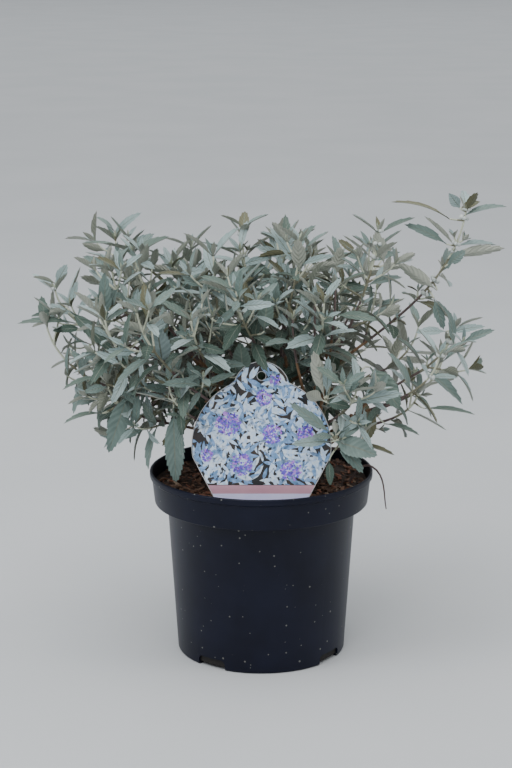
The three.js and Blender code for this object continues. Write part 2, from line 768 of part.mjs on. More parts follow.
// Short shoots in the leaf angles, each with a spread pair of leaves under its upright one
function addSideShoots(mass, masses) {
  const last = mass.stem.length - 1;
  for (let node = 1; node < last; node++) {
    for (const half of [0, 1]) {
      const keys = [mass.index, node, 3 + half];
      if (draw(...keys, 0) > SIDE_CHANCE) continue;
      const share = node / last;
      const step = mass.stem[node];
      const turn = (node * Math.PI) / 2 + half * Math.PI;
      const { along } = leafPose(step, turn, radians(SIDE_SPREAD_DEG), 0);
      const length = mix(SIDE_LENGTH, share) * (1 + (draw(...keys, 1) - 0.5) * SIDE_LENGTH_SPREAD);
      const foot = step.point.clone().addScaledVector(step.along, PAIR_RISE + SIDE_RISE / 2);
      const end = foot.clone().addScaledVector(along, length);
      const endDirection = along.clone().addScaledVector(UP, SIDE_LIFT).normalize();
      const path = growPath(foot, along, end, endDirection, 2);
      const shootTurn = turn + Math.PI / 2;
      const twig = makeTwig(path, SIDE_RADIUS, SIDE_RADIUS, shootTurn);
      const joint = jointOf(mass.index, node);
      const pieces = twigPieces(twig);
      const clear = pieces.every((piece) => isClear({ bearer: mass.twig, joint, ...piece }));
      if (!clear || !inOwnSpace(mass, end, masses)) continue;
      pieces.forEach((piece) => place({ twig, joint, ...piece }));
      const taken = mass.twig.buds[node].filter((bud) => bud.twig).map((bud) => bud.face);
      mass.twig.buds[node].push({ twig, face: nearestFace(turn, taken) });
      const pair = {
        turn: shootTurn,
        spreadDeg: SIDE_LEAF_SPREAD_DEG,
        sag: SIDE_LEAF_SAG,
        length: mix(LEAF_LENGTH, share) * SIDE_LEAF_SHARE,
        widthShare: mix(LEAF_WIDTH_SHARE, share),
        rollDeg: LEAF_ROLL_DEG,
        arch: LEAF_ARCH,
      };
      addPair(mass, masses, twig, 2, pair, [...keys, 2]);
    }
  }
}

// The boughs, and the leading stem of each mass that they carry
function growFrame() {
  const tips = FOLIAGE.map(([bough, name, x, y, z], index) => ({
    bough,
    name,
    index,
    tip: new THREE.Vector3(x, y, z),
  }));
  const names = [...new Set(tips.map((t) => t.bough))];
  const boughs = names.map((name) => {
    const carried = tips.filter((t) => t.bough === name);
    const middle = new THREE.Vector3();
    carried.forEach((t) => middle.addScaledVector(t.tip, 1 / carried.length));
    const end = CROWN_CENTRE.clone().lerp(middle, BOUGH_SHARE);
    return { name, carried, middle, end };
  });
  const leaving = spreadOut(
    boughs.map((b) => b.end.clone().sub(CROWN_CENTRE)),
    BOUGH_APART_DEG,
    LOWEST_SLOPE,
  );
  boughs.forEach((bough, i) => {
    const start = CROWN_CENTRE.clone().addScaledVector(leaving[i], CROWN_KNOB_RADIUS + SEAT_GAP);
    const onward = bough.middle.clone().sub(bough.end).normalize();
    bough.path = growPath(start, leaving[i], bough.end, onward, BOUGH_STEPS);
    bough.solid = limbSolid(bough.path, BOUGH_FOOT_RADIUS, BOUGH_TIP_RADIUS, BOUGH_SIDES, true);
    const starts = spreadOut(
      bough.carried.map((t) => t.tip.clone().sub(bough.end)),
      STEM_APART_DEG,
      -1,
    );
    bough.carried.forEach((mass, k) => {
      const foot = bough.end.clone().addScaledVector(starts[k], BOUGH_TIP_RADIUS + SEAT_GAP);
      const outward = mass.tip.clone().sub(CROWN_CENTRE).normalize();
      const endDirection = outward.multiplyScalar(STEM_LEAN).add(UP).normalize();
      const nodes = Math.round(foot.distanceTo(mass.tip) / INTERNODE) - 1;
      const steps = THREE.MathUtils.clamp(nodes, FEWEST_NODES, MOST_NODES) + 1;
      mass.stem = growPath(foot, starts[k], mass.tip, endDirection, steps);
      mass.twig = makeTwig(mass.stem, STEM_FOOT_RADIUS, STEM_TIP_RADIUS, (steps * Math.PI) / 2);
    });
  });
  return { boughs, masses: tips };
}

function foliageSolid(mass) {
  const skin = new Skin();
  skin.growTwig(null, mass.twig);
  return skin.solid();
}

function named(name, geometry, colour) {
  const mesh = new THREE.Mesh(geometry, material(colour));
  mesh.name = name;
  return mesh;
}

// A solid made in the plant's frame, moved to its own origin and put back by the mesh's position
function standing(name, solid, origin, colour) {
  const mesh = named(name, toGeometry(solid).translate(-origin.x, -origin.y, -origin.z), colour);
  mesh.position.copy(origin);
  return mesh;
}

const plant = new THREE.Group();
plant.name = "potted_bluebeard";

const pot = potSolid();
const soil = soilSolid();
const card = leanCard(named("label", cardGeometry(0, true), "label"));
const crown = named("woody_crown", crownGeometry(), "wood");
crown.position.set(CROWN_X, 0, SOIL_LEVEL + SEAT_GAP);
crown.updateMatrixWorld(true);
plant.add(named("pot", toGeometry(pot), "pot"));
plant.add(named("compost", toGeometry(soil), "compost"));
plant.add(card, crown);

const { boughs, masses } = growFrame();
[card, crown].forEach((mesh) => place({ solid: inPlace(mesh) }));
[pot, soil, ...boughs.map((b) => b.solid)].forEach((solid) => place({ solid }));
masses.forEach(({ twig }) => twigPieces(twig).forEach((piece) => place({ twig, ...piece })));
masses.forEach((mass) => dressStem(mass, masses));
masses.forEach((mass) => addSideShoots(mass, masses));

const branches = new THREE.Group();
branches.name = "boughs";
boughs.forEach((b) => branches.add(standing(`bough_${b.name}`, b.solid, b.path[0].point, "wood")));
const foliage = new THREE.Group();
foliage.name = "foliage";
masses.forEach((m) => foliage.add(standing(`foliage_${m.name}`, foliageSolid(m), m.stem[0].point, "leaf")));
plant.add(branches, foliage);

export default plant;
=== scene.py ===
# %% [markdown]
# # A potted bluebeard
# This notebook dresses a young silver-leaved shrub in its black nursery pot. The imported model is
# loaded as a fixed frame of plain solids, and each step replaces some of them by a finer mesh in the
# same place. We note the frame's box first, because the finished plant may hardly pass it.

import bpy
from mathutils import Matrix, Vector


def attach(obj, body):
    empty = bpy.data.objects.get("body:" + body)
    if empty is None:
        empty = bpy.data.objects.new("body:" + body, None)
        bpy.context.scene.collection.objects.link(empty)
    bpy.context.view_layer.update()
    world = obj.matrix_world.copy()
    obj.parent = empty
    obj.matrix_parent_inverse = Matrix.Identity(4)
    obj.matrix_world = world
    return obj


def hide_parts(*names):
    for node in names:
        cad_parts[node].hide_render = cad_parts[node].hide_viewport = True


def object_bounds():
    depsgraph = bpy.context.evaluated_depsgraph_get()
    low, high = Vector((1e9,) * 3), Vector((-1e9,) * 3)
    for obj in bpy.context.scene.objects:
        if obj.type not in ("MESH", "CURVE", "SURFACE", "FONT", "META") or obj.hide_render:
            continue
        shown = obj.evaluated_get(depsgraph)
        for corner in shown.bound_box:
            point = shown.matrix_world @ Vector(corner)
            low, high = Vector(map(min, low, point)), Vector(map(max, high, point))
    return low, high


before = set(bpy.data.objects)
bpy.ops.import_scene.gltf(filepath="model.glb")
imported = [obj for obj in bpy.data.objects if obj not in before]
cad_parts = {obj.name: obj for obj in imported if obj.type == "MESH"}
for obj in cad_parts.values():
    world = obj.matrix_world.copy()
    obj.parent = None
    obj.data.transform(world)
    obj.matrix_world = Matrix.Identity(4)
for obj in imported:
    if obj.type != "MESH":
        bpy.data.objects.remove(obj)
cad_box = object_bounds()
print("solids in the frame:", len(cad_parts))

# %% The modules the lesson uses
import math

import bmesh
import bpy
import numpy as np
from mathutils import Matrix, Vector, noise

MM = 0.001
UP = Vector((0, 0, 1))

# %% [markdown]
# ## The camera
# A camera matches a photograph when its distance, height, tilt and lens all agree. They were worked
# out from the pot, whose rim and foot are circles of known size: the camera stands about 1.6 m in
# front of the pot and 0.6 m above the floor, and looks a little down. The sensor is fitted to the
# picture's height, so that the lens means the same in an upright picture.

# %% Set up the camera
CAMERA_PLACE = Vector((-4.45, -1575.5, 604.9)) * MM
CAMERA_TILT_DOWN = math.radians(13.31)
LENS_MM, SENSOR_HEIGHT_MM = 89.9, 36


def new_object(name, data):
    made = bpy.data.objects.new(name, data)
    bpy.context.scene.collection.objects.link(made)
    return made


camera_data = bpy.data.cameras.new("portrait_camera")
camera_data.sensor_fit = "VERTICAL"
camera_data.sensor_height = SENSOR_HEIGHT_MM
camera_data.lens = LENS_MM
camera = new_object("portrait_camera", camera_data)
camera.location = CAMERA_PLACE
camera.rotation_euler = (math.pi / 2 - CAMERA_TILT_DOWN, 0, 0)
bpy.context.scene.camera = camera
print("camera looks down by", round(math.degrees(CAMERA_TILT_DOWN), 2), "degrees")

# %% [markdown]
# ## Small tools for meshes
# Every piece below ends in the same three steps: lists of points and faces become a mesh, the mesh
# becomes an object, and the object is tied to the frame. Short helpers do that. Another draws
# numbers that are the same each time for the same whole-number keys, so that the plant grows alike
# on every run, leaf for leaf.

# %% Chance
SEED = 207
WORD = 0xFFFFFFFF


def draw(*keys):
    """The same number from 0 to 1 each time for the same whole-number keys."""
    golden, mixer = 0x9E3779B1, 0x85EBCA6B
    value = SEED
    for key in keys:
        value = ((value ^ key) * golden) & WORD
        value ^= value >> 15
        value = (value * mixer) & WORD
        value ^= value >> 13
    return value / 2**32


def mix(ends, share):
    return ends[0] + (ends[1] - ends[0]) * share


# %% Meshes and pieces
def shade_smooth(mesh, crease_deg):
    mesh.shade_smooth()
    mesh.set_sharp_from_angle(angle=math.radians(crease_deg))


def make_piece(name, points, faces, materials, face_slots=None, crease_deg=50):
    """A mesh object from points and faces, flat where it has no crease angle. Slots go by face."""
    mesh = bpy.data.meshes.new(name)
    mesh.from_pydata([tuple(p) for p in points], [], faces)
    for material in materials:
        mesh.materials.append(material)
    if face_slots is not None:
        mesh.polygons.foreach_set("material_index", np.asarray(face_slots, dtype=np.int32))
    if crease_deg:
        shade_smooth(mesh, crease_deg)
    mesh.update()
    return new_object(name, mesh)


def belongs(piece, slot, *nodes):
    """Ties a piece to the plant's one body and hides the solids it stands for. The slot is not used."""
    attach(piece, "root")
    if nodes:
        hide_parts(*nodes)
    triangles = sum(len(p.vertices) - 2 for p in piece.data.polygons)
    print(f"{piece.name}: {triangles} triangles")


def joined(parts):
    """Several (points, faces) lists as one."""
    points, faces = [], []
    for part_points, part_faces in parts:
        start = len(points)
        points += part_points
        faces += [tuple(start + v for v in face) for face in part_faces]
    return points, faces


# %% Rings of points and the faces between them
def circle(radius, sides):
    turns = [2 * math.pi * k / sides for k in range(sides)]
    return [(radius * math.cos(t), radius * math.sin(t)) for t in turns]


def ring_faces(rings, sides, first=0):
    """Four-sided faces between rings of points that follow each other in the list."""
    faces = []
    for ring in range(rings - 1):
        low, high = first + ring * sides, first + (ring + 1) * sides
        for k in range(sides):
            n = (k + 1) % sides
            faces.append((low + k, low + n, high + n, high + k))
    return faces


# %% [markdown]
# ## Small tools for materials
# A material here is a Principled shader with a little pattern in front of it. Most share one form: a
# colour that drifts to a second one in soft patches, and a fine bump. Both follow object
# coordinates, so the pattern stays on the plant from every side. What is the same all over, such as
# roughness or sheen, is set on the shader itself.

# %% Nodes and links
def link(material, source, target):
    material.node_tree.links.new(source, target)


def node(material, kind, **settings):
    """A shader node. A setting links another node's output, fills a socket, or sets a property."""
    made = material.node_tree.nodes.new(kind)
    for key, value in settings.items():
        if isinstance(value, bpy.types.NodeSocket):
            link(material, value, made.inputs[key])
        elif key in made.inputs:
            made.inputs[key].default_value = value
        else:
            setattr(made, key, value)
    return made


def maths(material, operation, *values):
    """The output of a Math node. Each value is a number or another node's output."""
    made = node(material, "ShaderNodeMath", operation=operation)
    for socket, value in zip(made.inputs, values):
        if isinstance(value, bpy.types.NodeSocket):
            link(material, value, socket)
        else:
            socket.default_value = value
    return made.outputs[0]


# %% Noise, colour and bump
def noise_field(material, scale, detail=3.0, stretch=(1, 1, 1)):
    """Noise over object coordinates, in cells per metre, stretched along an axis if asked."""
    place = node(material, "ShaderNodeTexCoord").outputs["Object"]
    mapped = node(material, "ShaderNodeMapping", Vector=place, Scale=stretch).outputs["Vector"]
    field = node(material, "ShaderNodeTexNoise", Vector=mapped, Scale=scale, Detail=detail)
    return field.outputs["Fac"]


def drift(material, shader, colour, other, amount, low=0.35, high=0.65):
    """Base colour that drifts from one colour to the other as `amount` goes from low to high."""
    ramp = node(material, "ShaderNodeValToRGB", Fac=amount)
    for element, place, tint in zip(ramp.color_ramp.elements, (low, high), (colour, other)):
        element.position = place
        element.color = (*tint, 1)
    link(material, ramp.outputs["Color"], shader.inputs["Base Color"])
    return ramp.outputs["Color"]


def bump(material, shader, height, strength, distance):
    made = node(material, "ShaderNodeBump", Height=height, Strength=strength, Distance=distance)
    link(material, made.outputs["Normal"], shader.inputs["Normal"])


# %% Materials
def new_material(name, roughness, **sockets):
    """A Principled material. A socket's name is written with _ for each space."""
    material = bpy.data.materials.new(name)
    material.use_nodes = True
    shader = material.node_tree.nodes["Principled BSDF"]
    shader.inputs["Roughness"].default_value = roughness
    for socket, value in sockets.items():
        shader.inputs[socket.replace("_", " ")].default_value = value
    return material, shader


def mottled(name, roughness, colours, patches, relief=None, limits=(0.35, 0.65), **sockets):
    """Two colours that drift over a noise field, with a finer field as relief where it is given."""
    material, shader = new_material(name, roughness, **sockets)
    drift(material, shader, *colours, noise_field(material, *patches), *limits)
    if relief:
        grain, strength, distance = relief
        bump(material, shader, noise_field(material, *grain), strength, distance)
    return material


# %% [markdown]
# ## The floor and the light
# The plant was photographed in soft light from above with a little more from the left. The camera
# looks down, so one wide flat floor fills the whole picture and hides nothing from any side. A
# ceiling of light, far larger than the plant, makes the floor even to its far end. Smaller lamps
# above and around the plant model its leaves with soft shadows, and the world adds a cool fill.

# %% Lay the floor
FLOOR_HALF = 30.0

corners = [(-1, -1), (1, -1), (1, 1), (-1, 1)]
floor_points = [(x * FLOOR_HALF, y * FLOOR_HALF, 0.0) for x, y in corners]
paper = mottled("pale_paper", 0.75, ((0.50, 0.515, 0.525), (0.53, 0.54, 0.55)), (3.0,))
floor = make_piece("studio_floor", floor_points, [(0, 1, 2, 3)], [paper])

# %% Hang the lamps
PLANT_MIDDLE = (0, 0, 0.25)
# name, place, what it points at, size, watts, colour
LAMPS = [
    ("ceiling_lamp", (0, 1.2, 7.6), (0, 1.2, 0), (40.0, 40.0), 4240, (0.97, 0.985, 1.0)),
    ("overhead_lamp", (-0.3, -0.5, 2.1), PLANT_MIDDLE, (1.6, 1.4), 17, (0.97, 0.985, 1.0)),
    ("left_lamp", (-1.7, -0.9, 1.8), PLANT_MIDDLE, (1.0, 1.2), 15, (0.95, 0.98, 1.0)),
    ("right_lamp", (1.6, -0.6, 1.6), PLANT_MIDDLE, (0.8, 1.0), 6, (1.0, 0.97, 0.93)),
    ("front_lamp", (-0.5, -1.9, 1.8), PLANT_MIDDLE, (1.0, 1.0), 15, (0.98, 0.99, 1.0)),
]
for name, place, aim, size, watts, colour in LAMPS:
    data = bpy.data.lights.new(name, "AREA")
    data.shape = "RECTANGLE"
    data.size, data.size_y = size
    data.energy = watts
    data.color = colour
    lamp = new_object(name, data)
    lamp.location = place
    lamp.rotation_euler = (Vector(aim) - Vector(place)).to_track_quat("-Z", "Y").to_euler()
world = bpy.data.worlds.new("soft_room")
world.use_nodes = True
world.node_tree.nodes["Background"].inputs["Color"].default_value = (0.86, 0.93, 1.0, 1)
world.node_tree.nodes["Background"].inputs["Strength"].default_value = 0.30
bpy.context.scene.world = world

# %% [markdown]
# ## The pot
# A nursery pot is blown from thin black plastic: a flared band below a rolled rim, a ledge where the
# band meets the body, and drainage notches that cut the corner between wall and floor. It is round,
# so one profile turned about its axis gives the whole wall. The notches are cut afterwards by
# Boolean modifiers, which leave the crisp corners that a mould does.

# %% The pot's measures
POT_HEIGHT = 158 * MM
RIM_RADIUS = 95 * MM
RIM_PROUD = 1.2 * MM
BAND_HEIGHT = 27 * MM
BAND_FOOT_RADIUS = 91 * MM
BAND_BEVEL = 1.2 * MM
BODY_TOP_RADIUS = 81 * MM
FOOT_RADIUS = 72 * MM
FOOT_BEVEL = 2 * MM
WALL = 1.6 * MM
FLOOR_THICKNESS = 2.4 * MM
LIP = 0.8 * MM
NOTCH_COUNT = 4
NOTCH_FIRST = math.radians(-36)
NOTCH_WIDTH, NOTCH_HEIGHT, NOTCH_DEPTH = 27 * MM, 9 * MM, 9 * MM
NOTCH_CORNER = 4 * MM
CUT_BELOW, CUT_OUTSIDE = 2 * MM, 3 * MM
POT_SIDES = 192
POT_CREASE_DEG = 32

band_foot_z = POT_HEIGHT - BAND_HEIGHT


# %% Profiles that turn about the axis
def arc(centre, radius, first, last, steps):
    """Points of an arc in the plane of a profile, angles in degrees."""
    turns = np.radians(np.linspace(first, last, steps + 1))
    return [(centre[0] + radius * math.cos(t), centre[1] + radius * math.sin(t)) for t in turns]


def lathe(profile, sides):
    """A profile of (radius, height) turned about the Z axis, closed where it starts and ends there."""
    points, faces, rows = [], [], []
    for radius, height in profile:
        ring = circle(radius, sides) if radius > 1e-7 else [(0, 0)]
        rows.append(range(len(points), len(points) + len(ring)))
        points += [(x, y, height) for x, y in ring]
    for low, high in zip(rows, rows[1:]):
        for k in range(sides):
            n = (k + 1) % sides
            ring = [low[k % len(low)], low[n % len(low)], high[n % len(high)], high[k % len(high)]]
            faces.append(list(dict.fromkeys(ring)))
    return points, faces


def pot_profile():
    slope = (RIM_RADIUS - BAND_FOOT_RADIUS) / BAND_HEIGHT
    lip_middle = (RIM_RADIUS - LIP - WALL / 4, POT_HEIGHT - LIP)
    inside_z = band_foot_z + WALL
    outer = [(0, 0), (FOOT_RADIUS - FOOT_BEVEL - 4 * MM, 0)]
    outer += arc((FOOT_RADIUS - FOOT_BEVEL, FOOT_BEVEL), FOOT_BEVEL, -90, 0, 6)
    outer += [(BODY_TOP_RADIUS - 0.9 * MM, band_foot_z - 1.5 * MM), (BODY_TOP_RADIUS, band_foot_z)]
    outer += arc((BAND_FOOT_RADIUS - BAND_BEVEL, band_foot_z + BAND_BEVEL), BAND_BEVEL, -90, 0, 5)
    outer.append((RIM_RADIUS - RIM_PROUD - slope * 4 * MM, POT_HEIGHT - 6 * MM))
    outer += [(RIM_RADIUS - 0.2 * MM, POT_HEIGHT - 4.6 * MM), (RIM_RADIUS, POT_HEIGHT - 3 * MM)]
    outer += arc(lip_middle, LIP + WALL / 4, 0, 180, 8)
    inner = [(RIM_RADIUS - WALL - 2 * LIP, POT_HEIGHT - 3 * MM)]
    inner += [(BAND_FOOT_RADIUS - WALL, inside_z), (BODY_TOP_RADIUS - WALL, inside_z)]
    inner += [(FOOT_RADIUS - WALL, FLOOR_THICKNESS), (0, FLOOR_THICKNESS)]
    return outer + inner


# %% The pot's plastic
def pot_plastic():
    """Black plastic, a little cloudy, with a fine grain and small specks of dust."""
    material, shader = new_material("black_nursery_plastic", 0.40, Specular_IOR_Level=0.22)
    cloud = noise_field(material, 22.0)
    plastic = drift(material, shader, (0.0016, 0.0026, 0.0110), (0.0040, 0.0056, 0.0180), cloud)
    place = node(material, "ShaderNodeTexCoord").outputs["Object"]
    cells = node(material, "ShaderNodeTexVoronoi", Vector=place, Scale=170.0)
    rare = node(material, "ShaderNodeSeparateColor", Color=cells.outputs["Color"])
    size = maths(material, "MULTIPLY", rare.outputs["Green"], 0.15)
    near = maths(material, "LESS_THAN", cells.outputs["Distance"], size)
    chosen = maths(material, "GREATER_THAN", rare.outputs["Red"], 0.35)
    speck = maths(material, "MULTIPLY", near, chosen)
    dust = (0.14, 0.14, 0.13, 1)
    dusty = node(material, "ShaderNodeMix", data_type="RGBA", Factor=speck, A=plastic, B=dust)
    link(material, dusty.outputs["Result"], shader.inputs["Base Color"])
    bump(material, shader, noise_field(material, 900.0, 2.0), 0.12, 0.0002)
    return material


# %% Blocks from flat outlines
def push_through(made, way):
    """Gives the flat faces of a bmesh a thickness."""
    pushed = bmesh.ops.extrude_face_region(made, geom=made.faces[:])
    moved = [v for v in pushed["geom"] if isinstance(v, bmesh.types.BMVert)]
    bmesh.ops.translate(made, verts=moved, vec=way)


def closed_object(name, made):
    """An object from a closed bmesh, with its faces pointing out."""
    bmesh.ops.recalc_face_normals(made, faces=made.faces)
    mesh = bpy.data.meshes.new(name)
    made.to_mesh(mesh)
    made.free()
    return new_object(name, mesh)


def notch_cutter(turn):
    """A block with two rounded upper corners, standing across the foot of the wall."""
    half = NOTCH_WIDTH / 2
    corner_x, corner_z = half - NOTCH_CORNER, NOTCH_HEIGHT - NOTCH_CORNER
    outline = [(-half, -CUT_BELOW), (half, -CUT_BELOW)]
    outline += arc((corner_x, corner_z), NOTCH_CORNER, 0, 90, 6)
    outline += arc((-corner_x, corner_z), NOTCH_CORNER, 90, 180, 6)
    made = bmesh.new()
    made.faces.new([made.verts.new((x, -FOOT_RADIUS - CUT_OUTSIDE, z)) for x, z in outline])
    push_through(made, (0, NOTCH_DEPTH + CUT_OUTSIDE, 0))
    bmesh.ops.rotate(made, verts=made.verts, cent=(0, 0, 0), matrix=Matrix.Rotation(turn, 3, "Z"))
    return closed_object("notch", made)


# %% Turn the pot and cut its notches
def apply_modifiers(piece):
    shape = piece.evaluated_get(bpy.context.evaluated_depsgraph_get())
    mesh = bpy.data.meshes.new_from_object(shape)
    piece.modifiers.clear()
    piece.data = mesh


pot = make_piece("nursery_pot", *lathe(pot_profile(), POT_SIDES), [pot_plastic()], crease_deg=None)
cutters = [notch_cutter(NOTCH_FIRST + i * 2 * math.pi / NOTCH_COUNT) for i in range(NOTCH_COUNT)]
for cutter in cutters:
    cut = pot.modifiers.new("notch", "BOOLEAN")
    cut.operation = "DIFFERENCE"
    cut.solver = "EXACT"
    cut.object = cutter
bpy.context.view_layer.update()
apply_modifiers(pot)
for cutter in cutters:
    bpy.data.objects.remove(cutter)
shade_smooth(pot.data, POT_CREASE_DEG)
belongs(pot, "pot", "pot")

# %% [markdown]
# ## The compost
# Composted bark is a heap of small split chips, dark and damp between, with a few reddish and paler
# ones on top. One uneven bed fills the pot, and loose chips lie on it. Each chip is a thin wedge with
# jittered corners, turned at random and nearly flat, and four barks are dealt out to them.

# %% The compost's measures and materials
SOIL_LEVEL = 146 * MM
SOIL_EDGE_RISE = 1.5 * MM
SOIL_FLAT_RADIUS, SOIL_TOP_RADIUS = 60 * MM, 90.5 * MM
SOIL_RINGS, SOIL_SIDES = 40, 120
HEAP_X, HEAP_Y, HEAP_RADIUS, HEAP_HEIGHT = 55 * MM, 30 * MM, 32 * MM, 5 * MM
SEAT_GAP = 0.3 * MM
CHIP_COUNT = 1500
CHIP_LENGTH = (3 * MM, 12 * MM)
CHIP_THICKEST = 1.6 * MM
CHIPS_TO_RADIUS = 86.5 * MM
CHIP_LIMITS = (0.45, 0.8, 0.955)
CHIP_FACES = [(0, 2, 3, 1), (4, 5, 7, 6), (0, 1, 5, 4), (2, 6, 7, 3), (0, 4, 6, 2), (1, 3, 7, 5)]


def split_bark(name, dark, light):
    grain = ((900.0, 3.0, (1, 1, 2.5)), 0.5, 0.0006)
    return mottled(name, 0.78, (dark, light), (260.0, 4.0), grain)


bed_colours = [
    split_bark("damp_compost", (0.026, 0.014, 0.010), (0.060, 0.033, 0.022)),
    # the bed's sides down inside the pot's wall are painted near black, as shade in the gap there
    split_bark("compost_painted_shade", (0.004, 0.003, 0.003), (0.010, 0.007, 0.005)),
]
chip_colours = [
    split_bark("dark_bark", (0.050, 0.027, 0.018), (0.115, 0.062, 0.041)),
    split_bark("brown_bark", (0.120, 0.060, 0.037), (0.240, 0.130, 0.080)),
    split_bark("red_bark", (0.170, 0.064, 0.038), (0.310, 0.130, 0.075)),
    split_bark("pale_wood_bits", (0.280, 0.190, 0.130), (0.420, 0.310, 0.220)),
]


# %% Fill the pot
def soil_height(x, y):
    """The level of the compost: uneven, a little higher at the wall, with a low heap at one side."""
    radius = math.hypot(x, y)
    edge = min(max((radius - SOIL_FLAT_RADIUS) / (SOIL_TOP_RADIUS - SOIL_FLAT_RADIUS), 0), 1)
    rough = noise.noise(Vector((x, y, 0)) * 90) * 0.9 + noise.noise(Vector((x, y, 3)) * 300) * 0.5
    heap = HEAP_HEIGHT * math.exp(-((x - HEAP_X) ** 2 + (y - HEAP_Y) ** 2) / HEAP_RADIUS**2)
    return SOIL_LEVEL + SOIL_EDGE_RISE * edge + heap + rough * MM - 0.6 * MM


def compost_bed():
    """The bed's points and faces, and how many of its faces lie open. Rings spread to the pot's wall
    and go down it, and one flat face closes the underside."""
    points = [(0, 0, soil_height(0, 0))]
    for ring in range(1, SOIL_RINGS + 1):
        rim = circle(SOIL_TOP_RADIUS * ring / SOIL_RINGS, SOIL_SIDES)
        points += [(x, y, soil_height(x, y)) for x, y in rim]
    walls = [(BAND_FOOT_RADIUS - WALL - SEAT_GAP, band_foot_z + WALL + SEAT_GAP)]
    walls.append((BODY_TOP_RADIUS - WALL - SEAT_GAP, band_foot_z + WALL + SEAT_GAP))
    walls.append((FOOT_RADIUS - WALL - SEAT_GAP, FLOOR_THICKNESS + SEAT_GAP))
    for radius, height in walls:
        points += [(x, y, height) for x, y in circle(radius, SOIL_SIDES)]
    faces = [(0, 1 + k, 1 + (k + 1) % SOIL_SIDES) for k in range(SOIL_SIDES)]
    bands = ring_faces(SOIL_RINGS + len(walls), SOIL_SIDES, 1)
    faces += [(a, d, c, b) for a, b, c, d in bands]
    faces.append(tuple(len(points) - 1 - k for k in range(SOIL_SIDES)))
    return points, faces, SOIL_SIDES * SOIL_RINGS


bed_points, bed_faces, open_faces = compost_bed()
# the open top takes the compost; the faces down the wall and under the bed take the painted shade
bed_slots = [0] * open_faces + [1] * (len(bed_faces) - open_faces)
bed = make_piece("compost_bed", bed_points, bed_faces, bed_colours, bed_slots)
belongs(bed, "compost", "compost")


# %% Strew the bark chips
def chip(place, length, width, thickness, turn, tip):
    """Eight jittered corners of a split chip, narrower at one end."""
    corners = []
    spin = Matrix.Rotation(turn, 3, "Z") @ Matrix.Rotation(tip, 3, "Y")
    for i, (x, y, z) in enumerate([(a, b, c) for c in (-1, 1) for b in (-1, 1) for a in (-1, 1)]):
        wear = 0.62 + 0.38 * draw(int(turn * 1e5), i)
        taper = 1 - 0.35 * (x > 0)
        corner = Vector((x * length * wear, y * width * wear * taper, z * thickness * wear)) / 2
        corners.append(place + spin @ corner)
    return corners


parts, chip_slots = [], []
for i in range(CHIP_COUNT):
    radius = CHIPS_TO_RADIUS * math.sqrt(draw(1, i, 1))
    around = 2 * math.pi * draw(1, i, 2)
    x, y = radius * math.cos(around), radius * math.sin(around)
    length = mix(CHIP_LENGTH, draw(1, i, 3) ** 2.2)
    width = length * (0.22 + 0.4 * draw(1, i, 4))
    thickness = min(0.35 * width, CHIP_THICKEST)
    lift = 0.5 * MM + 1.3 * MM * draw(1, i, 5)
    place = Vector((x, y, soil_height(x, y) + lift))
    tip = (draw(1, i, 6) - 0.5) * 0.9
    corners = chip(place, length, width, thickness, 2 * math.pi * draw(1, i, 7), tip)
    parts.append((corners, CHIP_FACES))
    chip_slots += [sum(draw(1, i, 8) >= limit for limit in CHIP_LIMITS)] * len(CHIP_FACES)
chips = make_piece("bark_chips", *joined(parts), chip_colours, chip_slots, crease_deg=None)
belongs(chips, "compost")

# %% [markdown]
# ## How the shrub branches
# Many stems rise from one woody crown. Short boughs fan out from it, and each carries two or three
# leading stems that end at named tips, where the crown's outline has its points. A cubic curve joins
# the foot of each limb to its end, because it can hold both the direction it leaves in and the
# upward turn of a young tip. The same rule and the same chance draws made the solids.

# %% Named sizes of the branches, in millimetres
CROWN_X = 15
CROWN_KNOB_RADIUS = 14
CROWN_KNOB_RISE = 7
LIMB_GAP = 0.3
BOUGH_SHARE = 0.45
BOUGH_RADIUS = (3.2, 2.6)
BOUGH_APART = math.radians(29)
LOWEST_SLOPE = 0.3
PULL = 0.36
STEM_RADIUS = (1.35, 0.8)
STEM_APART = math.radians(68)
STEM_LEAN = 0.35
INTERNODE = 17
OPEN_MASSES = {"top_right": 1.6, "upper_right": 1.2, "right_outer": 1.35, "right_front": 1.25,
               "back_right": 1.3, "back_right_outer": 1.4, "right_back": 1.25, "left_outer": 1.15}
FEWEST_NODES, MOST_NODES = 3, 9
SPREADING_ROUNDS = 60

# each bough's masses of foliage, with the place of each one's tip
TIPS = {
    "left": [
        ("left_outer", -171, -10, 314), ("left_low", -178, -15, 284), ("left_shoulder", -122, -32, 334),
    ],
    "upper_left": [
        ("top_left", -124, 40, 348), ("upper_left", -106, -2, 344), ("upper_left_inner", -72, 18, 330),
    ],
    "low_left": [("low_left", -126, -50, 244), ("low_left_inner", -74, -84, 250)],
    "front_left": [
        ("front_left", -126, -64, 300), ("front_left_inner", -98, -95, 312),
        ("front_left_centre", -56, -86, 304),
    ],
    "centre_left": [
        ("crown_front_left", -39, -42, 348), ("crown_top", -16, 10, 356), ("front_centre", -20, -78, 326),
    ],
    "centre_right": [
        ("crown_middle", 17, 8, 348), ("crown_front_right", 31, -38, 358),
        ("front_centre_right", 50, -66, 314),
    ],
    "upper_right": [
        ("upper_right_inner", 64, 14, 334), ("upper_right", 96, -22, 364), ("top_right", 168, -10, 380),
    ],
    "right": [("right_outer", 160, -20, 284), ("right_front", 144, -58, 268)],
    "low_right": [("right_back", 154, 22, 246), ("low_right", 132, -8, 226)],
    "front_right": [("front_right", 76, -88, 250), ("front_low_right", 84, -78, 212)],
    "back_left": [
        ("back_left", -112, 92, 312), ("back_left_low", -142, 66, 250), ("back_left_top", -62, 112, 330),
    ],
    "back": [("back_middle", -12, 138, 292), ("back_top", 30, 92, 336)],
    "back_right": [
        ("back_right", 98, 84, 330), ("back_right_outer", 138, 74, 266),
        ("back_right_inner", 74, 132, 276),
    ],
    "back_low": [("back_low_left", -68, 128, 238), ("back_low", 14, 148, 232)],
}
